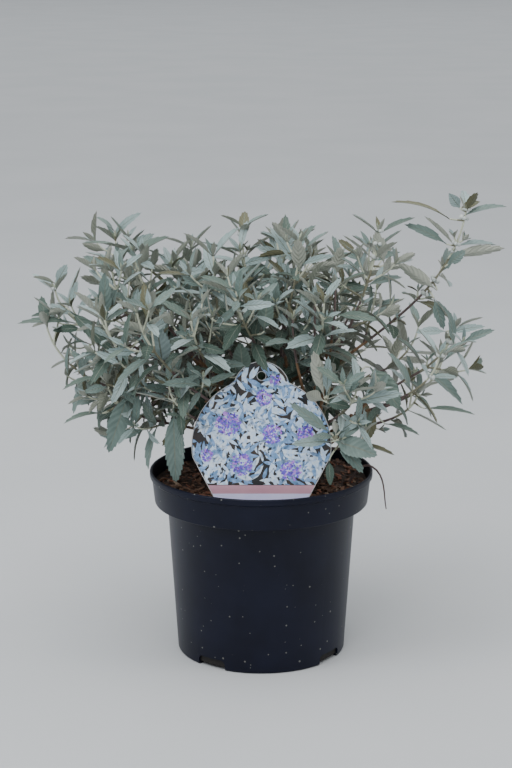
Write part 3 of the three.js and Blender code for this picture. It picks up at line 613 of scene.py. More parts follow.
crown_centre = Vector((CROWN_X, 0, SOIL_LEVEL / MM + CROWN_KNOB_RISE + LIMB_GAP))
print("masses of foliage:", sum(len(rows) for rows in TIPS.values()))


# %% Paths that limbs follow
def spread_out(wanted, apart, lowest):
    """Turns directions that leave one knob away from each other until each pair is far enough apart."""
    ways = [w.normalized() for w in wanted]
    for _ in range(SPREADING_ROUNDS):
        for i in range(len(ways)):
            for j in range(i + 1, len(ways)):
                lack = apart - ways[i].angle(ways[j])
                if lack <= 0:
                    continue
                axis = ways[i].cross(ways[j]).normalized()
                ways[i] = Matrix.Rotation(-lack / 2, 3, axis) @ ways[i]
                ways[j] = Matrix.Rotation(lack / 2, 3, axis) @ ways[j]
            ways[i].z = max(ways[i].z, lowest)
            ways[i].normalize()
    return ways


def grow_path(start, start_way, end, end_way, steps):
    """Points along a cubic curve, each with the direction there and a sideways vector."""
    pull = (end - start).length * PULL
    a, b, c, d = start, start + start_way * pull, end - end_way * pull, end
    side = UP.cross(start_way)
    if side.length < 1e-3:
        side = Vector((1, 0, 0))
    path = []
    for i in range(steps + 1):
        t = i / steps
        u = 1 - t
        point = a * u**3 + b * 3 * u * u * t + c * 3 * u * t * t + d * t**3
        along = ((b - a) * u * u + (c - b) * 2 * u * t + (d - c) * t * t).normalized()
        side = (side - along * side.dot(along)).normalized()
        path.append((point, along, side))
    return path


# %% Grow the boughs and leading stems
def grow_stem(name, index, foot, first, tip):
    """The leading stem of a mass: its curve, and a step of its path for each node."""
    outward = (tip - crown_centre).normalized()
    last = (outward * STEM_LEAN + UP).normalized()
    apart = INTERNODE * OPEN_MASSES.get(name, 1)
    nodes = math.floor((tip - foot).length / apart + 0.5) - 1
    steps = min(max(nodes, FEWEST_NODES), MOST_NODES) + 1
    curve = (foot, first, tip, last)
    return {"name": name, "index": index, "curve": curve, "stem": grow_path(*curve, steps)}


def grow_frame():
    boughs, masses = [], []
    for name, rows in TIPS.items():
        tips = [Vector(place) for _, *place in rows]
        middle = sum(tips, Vector()) / len(tips)
        end = crown_centre.lerp(middle, BOUGH_SHARE)
        boughs.append({"name": name, "rows": rows, "tips": tips, "middle": middle, "end": end})
    leaving = spread_out([b["end"] - crown_centre for b in boughs], BOUGH_APART, LOWEST_SLOPE)
    for bough, way in zip(boughs, leaving):
        start = crown_centre + way * (CROWN_KNOB_RADIUS + LIMB_GAP)
        onward = (bough["middle"] - bough["end"]).normalized()
        bough["curve"] = (start, way, bough["end"], onward)
        starts = spread_out([tip - bough["end"] for tip in bough["tips"]], STEM_APART, -1)
        for (name, *_), tip, first in zip(bough["rows"], bough["tips"], starts):
            foot = bough["end"] + first * (BOUGH_RADIUS[1] + LIMB_GAP)
            masses.append(grow_stem(name, len(masses), foot, first, tip))
    return boughs, masses


boughs, masses = grow_frame()
foliage_nodes = [f"foliage_{mass['name']}" for mass in masses]
print("boughs:", len(boughs), " longest stem has", max(len(m["stem"]) for m in masses) - 1, "nodes")

# %% [markdown]
# ## Bark on the crown and boughs
# Young bark splits into long shallow strips, and swells a little where leaves once stood. A tube
# along each limb's curve carries that relief in its own points: its radius follows noise that is
# stretched along the limb, so the strips run lengthwise. The tube's foot is drawn into the crown.

# %% Bark materials
def bark(name, deep, bright, roughness):
    patches, strips = (420.0, 4.0, (1, 1, 0.35)), (1500.0, 3.0, (1, 1, 0.3))
    return mottled(name, roughness, (deep, bright), patches, (strips, 0.5, 0.0004), (0.3, 0.7))


# by age, from the foot of a stem to its tip
STEM_COLOURS = [
    bark("orange_brown_bark", (0.115, 0.062, 0.032), (0.270, 0.165, 0.090), 0.82),
    bark("purple_brown_stem", (0.075, 0.050, 0.050), (0.150, 0.105, 0.095), 0.7),
    bark("grey_olive_stem", (0.135, 0.130, 0.085), (0.225, 0.218, 0.150), 0.75),
    bark("silver_felt_stem", (0.400, 0.420, 0.320), (0.580, 0.600, 0.470), 0.85),
]
OLD_BARK = STEM_COLOURS[0]


# %% A tube along a path
def tube(path, radii, sides, relief, seed, cap=0.6):
    """Points and faces of a limb, in metres, closed at both ends and domed at the tip."""
    points = []
    for row, ((point, along, side), radius) in enumerate(zip(path, radii)):
        across = along.cross(side)
        for x, y in circle(1, sides):
            strip = Vector((x * 3 + seed, y * 3, row * 0.35))
            here = radius * (1 + relief * noise.noise(strip))
            points.append((point + side * (here * x) + across * (here * y)) * MM)
    top = len(points) - sides
    points.append((path[-1][0] + path[-1][1] * radii[-1] * cap) * MM)
    faces = ring_faces(len(path), sides)
    faces += [(top + k, top + (k + 1) % sides, top + sides) for k in range(sides)]
    faces.append(tuple(reversed(range(sides))))
    return points, faces


# %% Dress the crown and boughs
CROWN_FLARE = [(0, 0), (19, 0), (16.5, 1.2), (15, 3), (14.3, 5)]
CROWN_SIDES = 48
BOUGH_STEPS, BOUGH_SIDES, BOUGH_RELIEF = 44, 16, 0.16
BOUGH_SINKS = 2.5
OLD_NODE_SWELL, OLD_NODES = 0.12, 6


def crown_stock():
    """The flared stock, with strips of bark that fade at its foot, and small lumps all over."""
    knob = arc((0, CROWN_KNOB_RISE), CROWN_KNOB_RADIUS, 0, 84, 12)
    profile = [*CROWN_FLARE, *knob, (0, CROWN_KNOB_RISE + CROWN_KNOB_RADIUS)]
    points, faces = lathe(profile, CROWN_SIDES)
    stock = []
    for x, y, z in points:
        strip = Vector((math.atan2(y, x) * 5, 0, z * 0.06))
        swell = 1 + 0.07 * noise.noise(strip) * min(z, 6) / 6 + 0.05 * noise.noise(Vector((x, y, z)) * 0.3)
        base = Vector((x * swell + CROWN_X, y * swell, z if z < 0.1 else z * swell))
        stock.append((base + Vector((0, 0, SOIL_LEVEL / MM))) * MM)
    return stock, faces


def bough_tube(bough, number):
    path = grow_path(*bough["curve"], BOUGH_STEPS)
    point, along, side = path[0]
    path[0] = (point - along * BOUGH_SINKS, along, side)
    shares = [row / BOUGH_STEPS for row in range(BOUGH_STEPS + 1)]
    swelling = [OLD_NODE_SWELL * max(0, math.cos(s * OLD_NODES * math.pi)) ** 8 for s in shares]
    radii = [mix(BOUGH_RADIUS, s) * (1 + w) for s, w in zip(shares, swelling)]
    return tube(path, radii, BOUGH_SIDES, BOUGH_RELIEF, number * 7.0)


belongs(make_piece("crown_stock", *crown_stock(), [OLD_BARK]), "wood", "woody_crown")
bough_parts = [bough_tube(bough, number) for number, bough in enumerate(boughs)]
bough_bark = make_piece("bough_bark", *joined(bough_parts), [OLD_BARK])
belongs(bough_bark, "wood", *[f"bough_{b['name']}" for b in boughs])

# %% [markdown]
# ## Where the leaves stand
# Bluebeard carries its leaves in opposite pairs, each pair at right angles to the one below. Old
# leaves low on a stem are broad, dull and hang; young ones near the tip are narrow, silver and
# stand up. Most leaf angles hold a side shoot with small pairs of its own. We first collect the
# leaves as plain facts - root, direction, size, age - and build their meshes afterwards in one go.
# Where two values stand together, the first is for the foot of a stem and the second for its tip.

# %% Named sizes of the leaves
LEAF_LENGTH = (50, 38)
LEAF_WIDTH_SHARE = (0.31, 0.235)
LEAF_SPREAD = (math.radians(88), math.radians(56))
LEAF_SAG = (0.42, 0.05)
LEAF_BEND = (1.05, 0.25)
LEAF_FOLD = (0.18, 0.5)
LEAF_ROLL = math.radians(35)
TURN_SPREAD, ANGLE_SPREAD, LENGTH_SPREAD = 0.5, 0.35, 0.3
BEND_SPREAD, BEND_SHIFT, TWIST_SPREAD, TINT_SPREAD = 0.7, 0.25, 0.7, 0.36
# the share of leaves painted olive, as light shining through them
LIT_THROUGH_CHANCE = 0.06
# the length of each pair in a tuft, and the degrees that it spreads
ROSETTE = [(29, 52), (17, 34), (9, 16)]
SIDE_CHANCE = 0.62
TWO_PAIRS_FROM = 32
SIDE_LENGTH = (46, 20)
SIDE_LENGTH_SPREAD = 0.4
SIDE_SPREAD = math.radians(42)
SIDE_LIFT = 0.5
BUD_SHOOT_LENGTH = (9, 5)
BUD_SHOOT_CHANCE = 0.55
# how far each try turns a leaf aside, and its size then
TRIES = [(0, 1), (0.5, 0.85), (-0.5, 0.7)]

# %% The space the leaves keep to, in millimetres
SPACE_SLACK = 12
REACH_SLACK = 8 * MM
CARD_FRONT_Y, CARD_CENTRE_Z, CARD_RADIUS = -70, 196, 57
CARD_LEAN = math.radians(4)
CARD_SHOWN_TO_X, CARD_SHOWN_GAP = 62, 5
CARD_ROUND, CARD_HEAD_HALF, CARD_HEAD_TOP_Z, CARD_CLEAR = 59, 25, 268, 3.0
WALL_INSIDE, WALL_OUTSIDE, WALL_CLEAR_Z = 84, 99, 162
COMPOST_RADIUS, CLEAR_ABOVE_COMPOST_Z = 102, 188
CLEAR_ABOVE_FLOOR_Z = 2
OPEN_SIDES_TO_Y = 40
OPEN_LEFT_X, OPEN_LEFT_Z = -160, 279
OPEN_RIGHT_X, OPEN_RIGHT_Z = 90, 192
ROOM_SHARE, ROOM_LEAST, ROOM_MOST_POINTS = 0.36, 0.6, 60000

leaves, twigs = [], []


# %% What keeps a leaf from its place
def off_stem(step, turn):
    """The direction straight out of a stem, at a turn round it from its sideways vector."""
    _, stem, side = step
    return side * math.cos(turn) + stem.cross(side) * math.sin(turn)


def leaf_pose(step, turn, spread, sag):
    """A leaf's direction and the way its upper side faces, from a step of a stem's path."""
    stem, outward = step[1], off_stem(step, turn)
    along = (stem * math.cos(spread) + outward * math.sin(spread) - UP * sag).normalized()
    face = stem - along * stem.dot(along)
    if face.length < 0.2:
        face = along * outward.dot(along) - outward
    return along, face.normalized()


def nearest_on_stem(mass, point):
    return min((step[0] - point).length for step in mass["stem"])


def in_own_space(mass, point):
    own = nearest_on_stem(mass, point)
    return all(other is mass or own - SPACE_SLACK < nearest_on_stem(other, point) for other in masses)


def outside_reach(point):
    """True outside the solids' box by more than the slack, and in the open air low at both sides."""
    low, high = cad_box
    beyond = any(p * MM < a - REACH_SLACK or p * MM > b + REACH_SLACK for p, a, b in zip(point, low, high))
    low_left = point.x < OPEN_LEFT_X and point.z < OPEN_LEFT_Z
    low_right = point.x > OPEN_RIGHT_X and point.z < OPEN_RIGHT_Z
    return beyond or (point.y < OPEN_SIDES_TO_Y and (low_left or low_right))


def hides_card(point):
    in_front = point.y < CARD_FRONT_Y + CARD_SHOWN_GAP
    off = math.hypot(point.x, point.z - CARD_CENTRE_Z)
    return in_front and point.x < CARD_SHOWN_TO_X and off < CARD_RADIUS + CARD_SHOWN_GAP


def hits_pot_or_card(point):
    radius = math.hypot(point.x, point.y)
    card_y = CARD_FRONT_Y + (point.z - SOIL_LEVEL / MM) * math.tan(CARD_LEAN)
    on_disc = math.hypot(point.x, point.z - CARD_CENTRE_Z) < CARD_ROUND
    on_head = abs(point.x) < CARD_HEAD_HALF and point.z < CARD_HEAD_TOP_Z
    in_card = (on_disc or on_head) and abs(point.y - card_y) < CARD_CLEAR
    in_wall = WALL_INSIDE < radius < WALL_OUTSIDE and point.z < WALL_CLEAR_Z
    over_compost = radius < COMPOST_RADIUS and point.z < CLEAR_ABOVE_COMPOST_Z
    return in_card or in_wall or over_compost or point.z < CLEAR_ABOVE_FLOOR_Z


class Room:
    """Where leaves already are, as points with a half width each."""

    def __init__(self):
        self.points = np.zeros((ROOM_MOST_POINTS, 4))
        self.count = 0

    def is_free(self, points, width):
        held = self.points[: self.count]
        for point in points:
            gap = np.linalg.norm(held[:, :3] - np.array(point), axis=1)
            if np.any(gap < ROOM_SHARE * (held[:, 3] + width) + ROOM_LEAST):
                return False
        return True

    def take(self, points, width):
        for point in points:
            self.points[self.count] = (*point, width)
            self.count += 1

    def take_path(self, path, width):
        self.take([step[0] for step in path], width)


room = Room()
for bough in boughs:
    room.take_path(grow_path(*bough["curve"], 20)[3:], 3.0)
for mass in masses:
    room.take_path(grow_path(*mass["curve"], 24)[2:], 1.2)
print("points kept clear round the limbs:", room.count)

# %% [markdown]
# A leaf bends evenly from its root to its tip, like a strip cut from a hoop. It has its own
# direction about a third of the way along, so it rises a little at its root and hangs at its tip.
# Each leaf tries its own place first, then one turned aside and a little smaller.

# %% Add leaves and pairs
STRAIGHT_AT = 0.35
HELD_SHARES = (STRAIGHT_AT, 0.6, 0.85)
LEAST_BEND = 1e-4


def bent(bend, share):
    """How far a leaf of length 1 has come forward and up at a share of its length."""
    first, here = STRAIGHT_AT * bend, bend * (STRAIGHT_AT - share)
    return (math.sin(first) - math.sin(here)) / bend, (math.cos(here) - math.cos(first)) / bend


def leaf_middle(leaf, share):
    """A point on the leaf's midline."""
    reach, lift = bent(leaf["bend"] + LEAST_BEND, share)
    return leaf["root"] + (leaf["along"] * reach + leaf["face"] * lift) * leaf["length"]


def add_leaf(mass, step, wanted):
    for turn, size in TRIES:
        along, face = leaf_pose(step, wanted["turn"] + turn, wanted["spread"], wanted["sag"])
        face = Matrix.Rotation(wanted["roll"], 3, along) @ face
        length = wanted["length"] * size
        leaf = dict(wanted, root=step[0], along=along, face=face, length=length)
        leaf["width"] = length * wanted["width_share"]
        middles = [leaf_middle(leaf, share) for share in (*HELD_SHARES, 1.0)]
        if any(hits_pot_or_card(p) for p in middles) or any(hides_card(p) for p in middles[1:]):
            continue
        if outside_reach(middles[-1]) or not in_own_space(mass, middles[-1]):
            continue
        if not room.is_free(middles[:3], leaf["width"] / 2):
            continue
        room.take(middles[:3], leaf["width"] / 2)
        leaves.append(leaf)
        return


def add_pair(mass, step, wanted, keys):
    """Two opposite leaves, each a little off what is wanted in its own way."""
    for half in (0, 1):
        def vary(what):
            return draw(*keys, half, what) - 0.5

        add_leaf(mass, step, dict(
            wanted,
            turn=wanted["turn"] + half * math.pi + vary(1) * TURN_SPREAD,
            spread=wanted["spread"] + vary(2) * ANGLE_SPREAD,
            sag=wanted["sag"] * (1 + vary(3)),
            length=wanted["length"] * (1 + vary(4) * LENGTH_SPREAD),
            roll=wanted["roll_most"] * 2 * vary(5),
            bend=wanted["bend"] * (1 + BEND_SPREAD * vary(6)) + BEND_SHIFT * vary(7),
            fold=wanted["fold"] * (1 + vary(8)),
            twist=TWIST_SPREAD * vary(9),
            tint=min(max(wanted["youth"] + TINT_SPREAD * vary(10), 0), 0.999),
            lit_through=vary(11) + 0.5 < LIT_THROUGH_CHANCE,
        ))


def leaf_kind(youth, size=1.0):
    """The look of a leaf by its age: youth is 0 at the foot of a stem and 1 at its tip."""
    return {
        "youth": youth,
        "spread": mix(LEAF_SPREAD, youth),
        "sag": mix(LEAF_SAG, youth),
        "length": mix(LEAF_LENGTH, youth) * size,
        "width_share": mix(LEAF_WIDTH_SHARE, youth),
        "roll_most": LEAF_ROLL,
        "bend": mix(LEAF_BEND, youth),
        "fold": mix(LEAF_FOLD, youth),
    }


# %% Add tufts and side shoots
SHOOT_RADII, SHOOT_ROOM = (0.95, 0.65), 0.8
SHOOT_FROM_NODE = 2.2


def add_rosette(mass, step, size, turn, keys):
    """The young leaves at a tip: pairs that shrink, rise and take quarter turns."""
    for order, (length, spread) in enumerate(ROSETTE):
        wanted = leaf_kind(0.76 + 0.11 * order)
        wanted.update(length=length * size, spread=math.radians(spread), sag=0.0, width_share=0.27)
        wanted.update(turn=turn + order * math.pi / 2, roll_most=0.3, bend=0.25, fold=0.6)
        wanted["heart"] = order == len(ROSETTE) - 1
        add_pair(mass, step, wanted, [*keys, 50 + order])


def add_twig(path, radii, youth):
    twigs.append({"path": path, "radii": radii, "youth": youth})


def add_shoot(mass, step, turn, length, share, keys, pairs, size):
    """A side shoot in a leaf angle, with small pairs of leaves and a rosette. True if it has room."""
    along, _ = leaf_pose(step, turn, SIDE_SPREAD, 0)
    foot = step[0] + step[1] * SHOOT_FROM_NODE
    end = foot + along * length
    curve = (foot, along, end, (along + UP * SIDE_LIFT).normalized())
    if not in_own_space(mass, end) or hits_pot_or_card(end) or hides_card(end):
        return False
    if outside_reach(end) or not room.is_free([end], 1.0):
        return False
    smooth, path = grow_path(*curve, 3 * (pairs + 1)), grow_path(*curve, pairs + 1)
    add_twig(smooth, SHOOT_RADII, (share * 0.6 + 0.3, 1.0))
    room.take_path(smooth[3:], SHOOT_ROOM)
    for node_number in range(1, pairs + 1):
        youth = mix((0.45, 0.9), (node_number + share) / (pairs + 1))
        wanted = leaf_kind(youth, 0.86 * size)
        wanted.update(turn=turn + math.pi / 2 * node_number, spread=math.radians(58), sag=0.05)
        add_pair(mass, path[node_number], wanted, [*keys, node_number])
    add_rosette(mass, path[-1], size, turn + math.pi / 2 * (pairs + 1), [*keys, 9])
    return True


# %% [markdown]
# ## The leaves that give the plant its face
# A few leaves are known one by one: the big toothed ones that hang over the pot's edge, the pale
# undersides beside the label, the long pairs of the tall shoot on the right. They are listed by where
# their root and tip are. Each grows on the nearest limb, and where that is some way off, a short
# shoot carries it. A leaf bends, so its direction is turned up by the angle that its tip sinks.

# %% Leaves and shoots with a place of their own
BARE_STEMS = [
    ((34, -30, 205), (43, -54, 312)),
    ((46, -26, 210), (60, -44, 322)),
    ((26, -34, 200), (25, -60, 300)),
]
PLACED_SHOOTS = [
    (59, -82, 207),
    (51, -86, 239),
    (-130, -52, 220),
    (-99, -70, 284),
    (-151, -18, 289),
    (-127, -40, 294),
]
# root, tip, width, colour from dark (0) to pale (4), pale underside (5, 6) or olive (7) as painted light
# shining through the leaf, bend, and how much the upper side is turned to the front (1), up (0), or the
# underside to the front (-1)
PLACED_LEAVES = [
    ((-108, -54, 238), (-125, -62, 189), 16, 3, 0.55, 0.7),
    ((-71, -75, 230), (-70, -62, 164), 16, 3, 0.8, 0.8),
    ((-130, -52, 220), (-162, -56, 212), 7, 2, 0.8, 0.2),
    ((-95, -50, 240), (-90, -45, 203), 6, 5, 0.4, 0.6),
    ((-57, -48, 247), (-49, -50, 223), 14, 0, 0.3, 0.9),
    ((-115, -60, 242), (-99, -66, 230), 7, 3, 0.2, 0.6),
    ((-125, -52, 242), (-145, -54, 238), 8, 3, 0.3, 0.5),
    ((-131, -50, 250), (-163, -50, 239), 8, 2, 0.6, 0.2),
    ((-73, -80, 245), (-93, -84, 250), 8, 3, 0.3, 0.5),
    ((-73, -80, 246), (-48, -84, 260), 7, 3, 0.2, 0.5),
    ((-125, -52, 240), (-133, -60, 223), 10, 2, 0.4, -0.6),
    ((-128, -40, 294), (-126, -48, 335), 12, 3, 0.3, 0.6),
    ((-154, -16, 288), (-203, -14, 287), 8, 2, 0.5, 0.3),
    ((-160, -14, 296), (-192, -8, 292), 8, 1, 0.4, 0.3),
    ((-149, -20, 284), (-172, -30, 284), 8, 1, 0.4, 0.5),
    ((-170, -10, 320), (-160, -14, 337), 9, 4, 0.2, 0.8),
    ((-170, -10, 320), (-190, -6, 325), 7, 2, 0.4, -0.5),
    ((-158, -16, 298), (-121, -36, 267), 11, 1, 0.4, 0.7),
    ((-128, -40, 294), (-107, -48, 306), 8, 3, 0.3, 0.4),
    ((-128, -40, 294), (-151, -46, 308), 7, 3, 0.3, -0.2),
    ((-80, -60, 263), (-84, -74, 299), 18, 4, 0.3, 0.6),
    ((-100, -70, 284), (-73, -76, 303), 9, 4, 0.4, 0.6),
    ((-100, -70, 284), (-119, -76, 299), 7, 3, 0.3, 0.1),
    ((-108, -2, 345), (-149, -4, 353), 6, 2, 0.7, 0.1),
    ((-108, -2, 345), (-76, -6, 359), 9, 2, 0.4, 0.3),
    ((-124, 38, 356), (-140, 36, 369), 7, 3, 0.5, 0.2),
    ((-124, 38, 356), (-101, 34, 373), 8, 4, 0.3, 0.5),
    ((-15, 8, 365), (-34, 6, 375), 6, 2, 0.3, -0.4),
    ((-15, 8, 365), (6, 4, 376), 8, 3, 0.3, 0.2),
    ((31, -38, 334), (29, -50, 364), 12, 5, 0.2, -0.9),
    ((35, -38, 354), (54, -44, 369), 7, 3, 0.2, 0.3),
    ((61, -20, 328), (65, -26, 354), 11, 5, 0.2, -0.9),
    ((101, -20, 338), (93, -26, 366), 12, 5, 0.3, -0.9),
    ((-15, -60, 255), (-17, -66, 282), 15, 2, 0.2, 0.9),
    ((2, -70, 292), (5, -78, 325), 13, 2, 0.3, 0.8),
    ((-24, -60, 318), (-51, -66, 332), 8, 2, 0.5, 0.3),
    ((56, -82, 211), (22, -84, 237), 9, 3, 0.3, 0.8),
    ((56, -82, 204), (24, -84, 202), 9, 4, 0.3, 0.5),
    ((59, -82, 204), (93, -92, 195), 17, 3, 0.9, 0.7),
    ((60, -82, 204), (82, -88, 179), 11, 3, 0.9, 0.6),
    ((60, -82, 210), (58, -84, 223), 5, 4, 0.1, -0.6),
    ((63, -82, 212), (82, -90, 229), 9, 4, 0.2, 0.8),
    ((58, -82, 208), (40, -88, 210), 6, 3, 0.3, 0.6),
    ((50, -86, 242), (41, -92, 281), 12, 6, 0.2, -0.95),
    ((49, -86, 239), (35, -94, 247), 11, 5, 0.5, -0.95),
    ((52, -86, 243), (53, -92, 277), 8, 4, 0.1, 0.8),
    ((52, -86, 243), (77, -92, 256), 8, 3, 0.2, 0.5),
    ((52, -86, 240), (96, -94, 252), 8, 5, 0.3, -0.3),
    ((52, -86, 238), (71, -92, 235), 9, 1, 0.4, 0.8),
    ((88, -58, 260), (112, -68, 228), 19, 2, 0.4, 0.8),
    ((102, -40, 208), (131, -44, 199), 7, 2, 0.6, 0.3),
    ((136, -20, 216), (179, -22, 211), 7, 2, 0.5, 0.3),
    ((155, -10, 374), (106, -10, 388), 7, 7, 0.7, 0.15),
    ((165, -10, 376), (202, -10, 384), 8, 3, 0.8, 0.35),
    ((163, -10, 383), (153, -14, 396), 9, 4, 0.2, 0.9),
    ((164, -10, 383), (180, -8, 388), 8, 7, 0.4, 0.5),
    ((153, -10, 353), (117, -14, 370), 10, 3, 0.5, 0.45),
    ((156, -10, 343), (201, -12, 350), 10, 6, 0.3, -0.7),
    ((154, -10, 336), (168, -16, 349), 9, 3, 0.2, 0.8),
    ((145, -12, 315), (112, -16, 338), 12, 6, 0.3, -0.7),
    ((143, -12, 308), (151, -20, 283), 9, 3, 0.2, 0.8),
    ((153, -22, 282), (127, -26, 282), 8, 4, 0.4, 0.5),
    ((155, -22, 281), (185, -26, 287), 8, 4, 0.4, 0.5),
    ((55, -74, 186), (56, -75, 165), 7, 1, 0.3, 0.8),
]
# colour 7 paints the olive of light shining through a leaf
LIT_THROUGH_LEAF = 7
WIDE_LEAF = 12
STALK, STALK_RADII = 7, (0.9, 0.6)
limb_points = [step for bough in boughs for step in grow_path(*bough["curve"], 20)[6:]]
limb_points += [step for mass in masses for step in grow_path(*mass["curve"], 24)]


# %% Grow a leaf or a twig to its place
def nearest_limb(point):
    return min(limb_points, key=lambda step: (step[0] - point).length)


def grow_twig(end, youth, radii):
    foot = nearest_limb(end + Vector((0, 0, -6)))[0]
    way = (end - foot).normalized()
    path = grow_path(foot, way, end, (way + UP * 0.4).normalized(), 6)
    add_twig(path, radii, youth)
    limb_points.extend(path)
    room.take_path(path, radii[0])


def place_leaf(root, tip, width, colour, bend, show):
    way = (tip - root).normalized()
    limb = nearest_limb(root - way * STALK)[0]
    if (limb - root).length > 2:
        first = (root - limb).normalized()
        add_twig(grow_path(limb, first, root, (first + way).normalized(), 6), STALK_RADII, (0.6, 0.95))
    reach, lift = bent(bend, 1)
    sag = math.atan2(lift, reach)
    look = UP * (1 - abs(show)) - Vector((0, show, 0))
    upward = (look - way * look.dot(way)).normalized()
    leaf = {"root": root, "bend": bend, "width": width, "twist": 0.15, "fold": 0.3}
    leaf["along"] = way * math.cos(sag) - upward * math.sin(sag)
    leaf["face"] = way * math.sin(sag) + upward * math.cos(sag)
    leaf["length"] = (tip - root).length / math.hypot(reach, lift)
    leaf["youth"] = 0.2 if width > WIDE_LEAF or colour < 2 else 0.6
    leaf["lit_through"] = colour == LIT_THROUGH_LEAF
    leaf["tint"] = min(0.1 + 0.2 * colour, 0.9)
    room.take([leaf_middle(leaf, share) for share in HELD_SHARES], width / 2)
    leaves.append(leaf)


# %% Grow the bare stems, the placed shoots and the placed leaves
# a dry bare shoot that crosses the rim on the right and hangs down outside it
RIM_CROSSING, CROSSING_WAY = Vector((94, -12, 163)), Vector((0.86, -0.12, -0.5))
DRY_FOOT, DRY_FIRST = Vector((74, -8, 147)), Vector((0.5, 0, 1))
DRY_END, DRY_LAST = Vector((106, -16, 127)), Vector((0.2, 0, -1))

for number, (foot, top) in enumerate(BARE_STEMS):
    foot, top = nearest_limb(Vector(foot))[0], Vector(top)
    path = grow_path(foot, (top - foot).normalized(), top, UP, 12)
    add_twig(path, (1.7, 0.8), (0.0, 0.3))
    room.take_path(path[2:], 2.0)
    for row in (8, 10):
        wanted = leaf_kind(0.6, 0.8) | {"turn": row * math.pi / 4}
        add_pair({"stem": path}, path[row], wanted, [number, row, 91])
    add_rosette({"stem": path}, path[-1], 0.9, math.pi / 2, [number, 92])
for end in PLACED_SHOOTS:
    grow_twig(Vector(end), (0.4, 0.95), (1.1, 0.8))
dry_shoot = grow_path(DRY_FOOT, DRY_FIRST, RIM_CROSSING, CROSSING_WAY, 8)
dry_shoot += grow_path(RIM_CROSSING, CROSSING_WAY, DRY_END, DRY_LAST, 8)[1:]
add_twig(dry_shoot, (1.3, 0.5), (0.3, 0.3))
for root, tip, *shape in PLACED_LEAVES:
    place_leaf(Vector(root), Vector(tip), *shape)
print("leaves with a place of their own:", len(PLACED_LEAVES))

# %% [markdown]
# ## Dressing every mass
# The rest of the leaves follow the rule. Each leading stem gets its pairs and a tuft first, then the
# boughs their old leaves, then the stems their side shoots. Last come sage leaves deep in the masses,
# because a real crown is dark and closed inside. The open masses, most of them at the right, stay
# thin.

# %% Dress every mass
INNER_BOUGH_X = 75
INNER_SHARE, INNER_LEAF_SIZE, INNER_YOUTH = 0.85, 0.78, (0.34, 0.5)
BEHIND_Y = 5
SPARSE_MASSES = ["front_right", "front_low_right", "low_right", "right_front", "right_back"]
SPARSE_SHARE = 0.35
LONG_SHOOT_SIZE, BUD_SHOOT_SIZE = 0.9, 0.42


def dress(mass):
    stem, index = mass["stem"], mass["index"]
    last = len(stem) - 1
    for number in range(1, last):
        wanted = leaf_kind((number - 1) / (last - 2)) | {"turn": number * math.pi / 2}
        add_pair(mass, stem[number], wanted, [index, number])
    add_rosette(mass, stem[last], 1.0, last * math.pi / 2, [index, last])


def dress_bough(bough, number):
    """Old dark leaves left on the upper part of a bough, more of them in the middle of the plant."""
    rows = 18 if abs(bough["curve"][2].x) < INNER_BOUGH_X else 12
    path = grow_path(*bough["curve"], rows)
    for row in range(rows // 3 + 1, rows):
        wanted = leaf_kind(0.12 * draw(number, row, 70), mix((0.65, 1.0), draw(number, row, 71)))
        wanted["turn"] = row * math.pi / 2
        add_pair({"stem": path}, path[row], wanted, [number, row, 72])


def thicken(mass):
    """Sage leaves between the nodes of a stem's inner part, and at them too where it's shaded behind."""
    steps = 2 * (len(mass["stem"]) - 1)
    path = grow_path(*mass["curve"], steps)
    behind = mass["curve"][2].y > BEHIND_Y
    for number in range(1, int(steps * INNER_SHARE) + 1, 1 if behind else 2):
        keys = [mass["index"], number, 76]
        wanted = leaf_kind(mix(INNER_YOUTH, draw(*keys)), INNER_LEAF_SIZE)
        wanted["turn"] = number * math.pi / 4
        add_pair(mass, path[number], wanted, keys)


def branch(mass):
    """Side shoots at a stem's nodes, and short leafy buds where a long shoot doesn't grow."""
    stem, name, last = mass["stem"], mass["name"], len(mass["stem"]) - 1
    kept = SPARSE_SHARE if name in SPARSE_MASSES else 1
    for number in range(1, last):
        for half in (0, 1):
            keys = [mass["index"], number, 3 + half]
            share = number / last
            turn = number * math.pi / 2 + half * math.pi
            length = mix(SIDE_LENGTH, share) * (1 + (draw(*keys, 1) - 0.5) * SIDE_LENGTH_SPREAD)
            long = draw(*keys, 0) <= kept * SIDE_CHANCE / OPEN_MASSES.get(name, 1) ** 2
            pairs = 2 if length > TWO_PAIRS_FROM else 1
            place = (mass, stem[number], turn)
            grown = long and add_shoot(*place, length, share, keys, pairs, LONG_SHOOT_SIZE)
            if not grown and draw(*keys, 2) < kept * BUD_SHOOT_CHANCE:
                add_shoot(*place, mix(BUD_SHOOT_LENGTH, share), share, keys, 0, BUD_SHOOT_SIZE)


for mass in masses:
    dress(mass)
for number, bough in enumerate(boughs):
    dress_bough(bough, 100 + number)
for mass in masses:
    branch(mass)
for mass in masses:
    if mass["name"] not in [*OPEN_MASSES, *SPARSE_MASSES]:
        thicken(mass)
for mass in masses:
    add_twig(grow_path(*mass["curve"], 30), STEM_RADIUS, (0.0, 1.0))
print("leaves:", len(leaves), " twigs:", len(twigs))

# %% [markdown]
# ## The shape of one leaf
# A leaf is a long closed blade: an upper side that folds along the midrib, a paler underside with the
# rib standing proud, and a margin between, toothed on all but the small leaves. All leaves share one
# template of rings, so numpy can bend, fold, twist and place thousands of them at once. Teeth and the
# quilting between the side veins come from shifting every other ring, which costs no extra faces.

# %% The leaf's template
VEIN, RIB = 0.52, 0.07
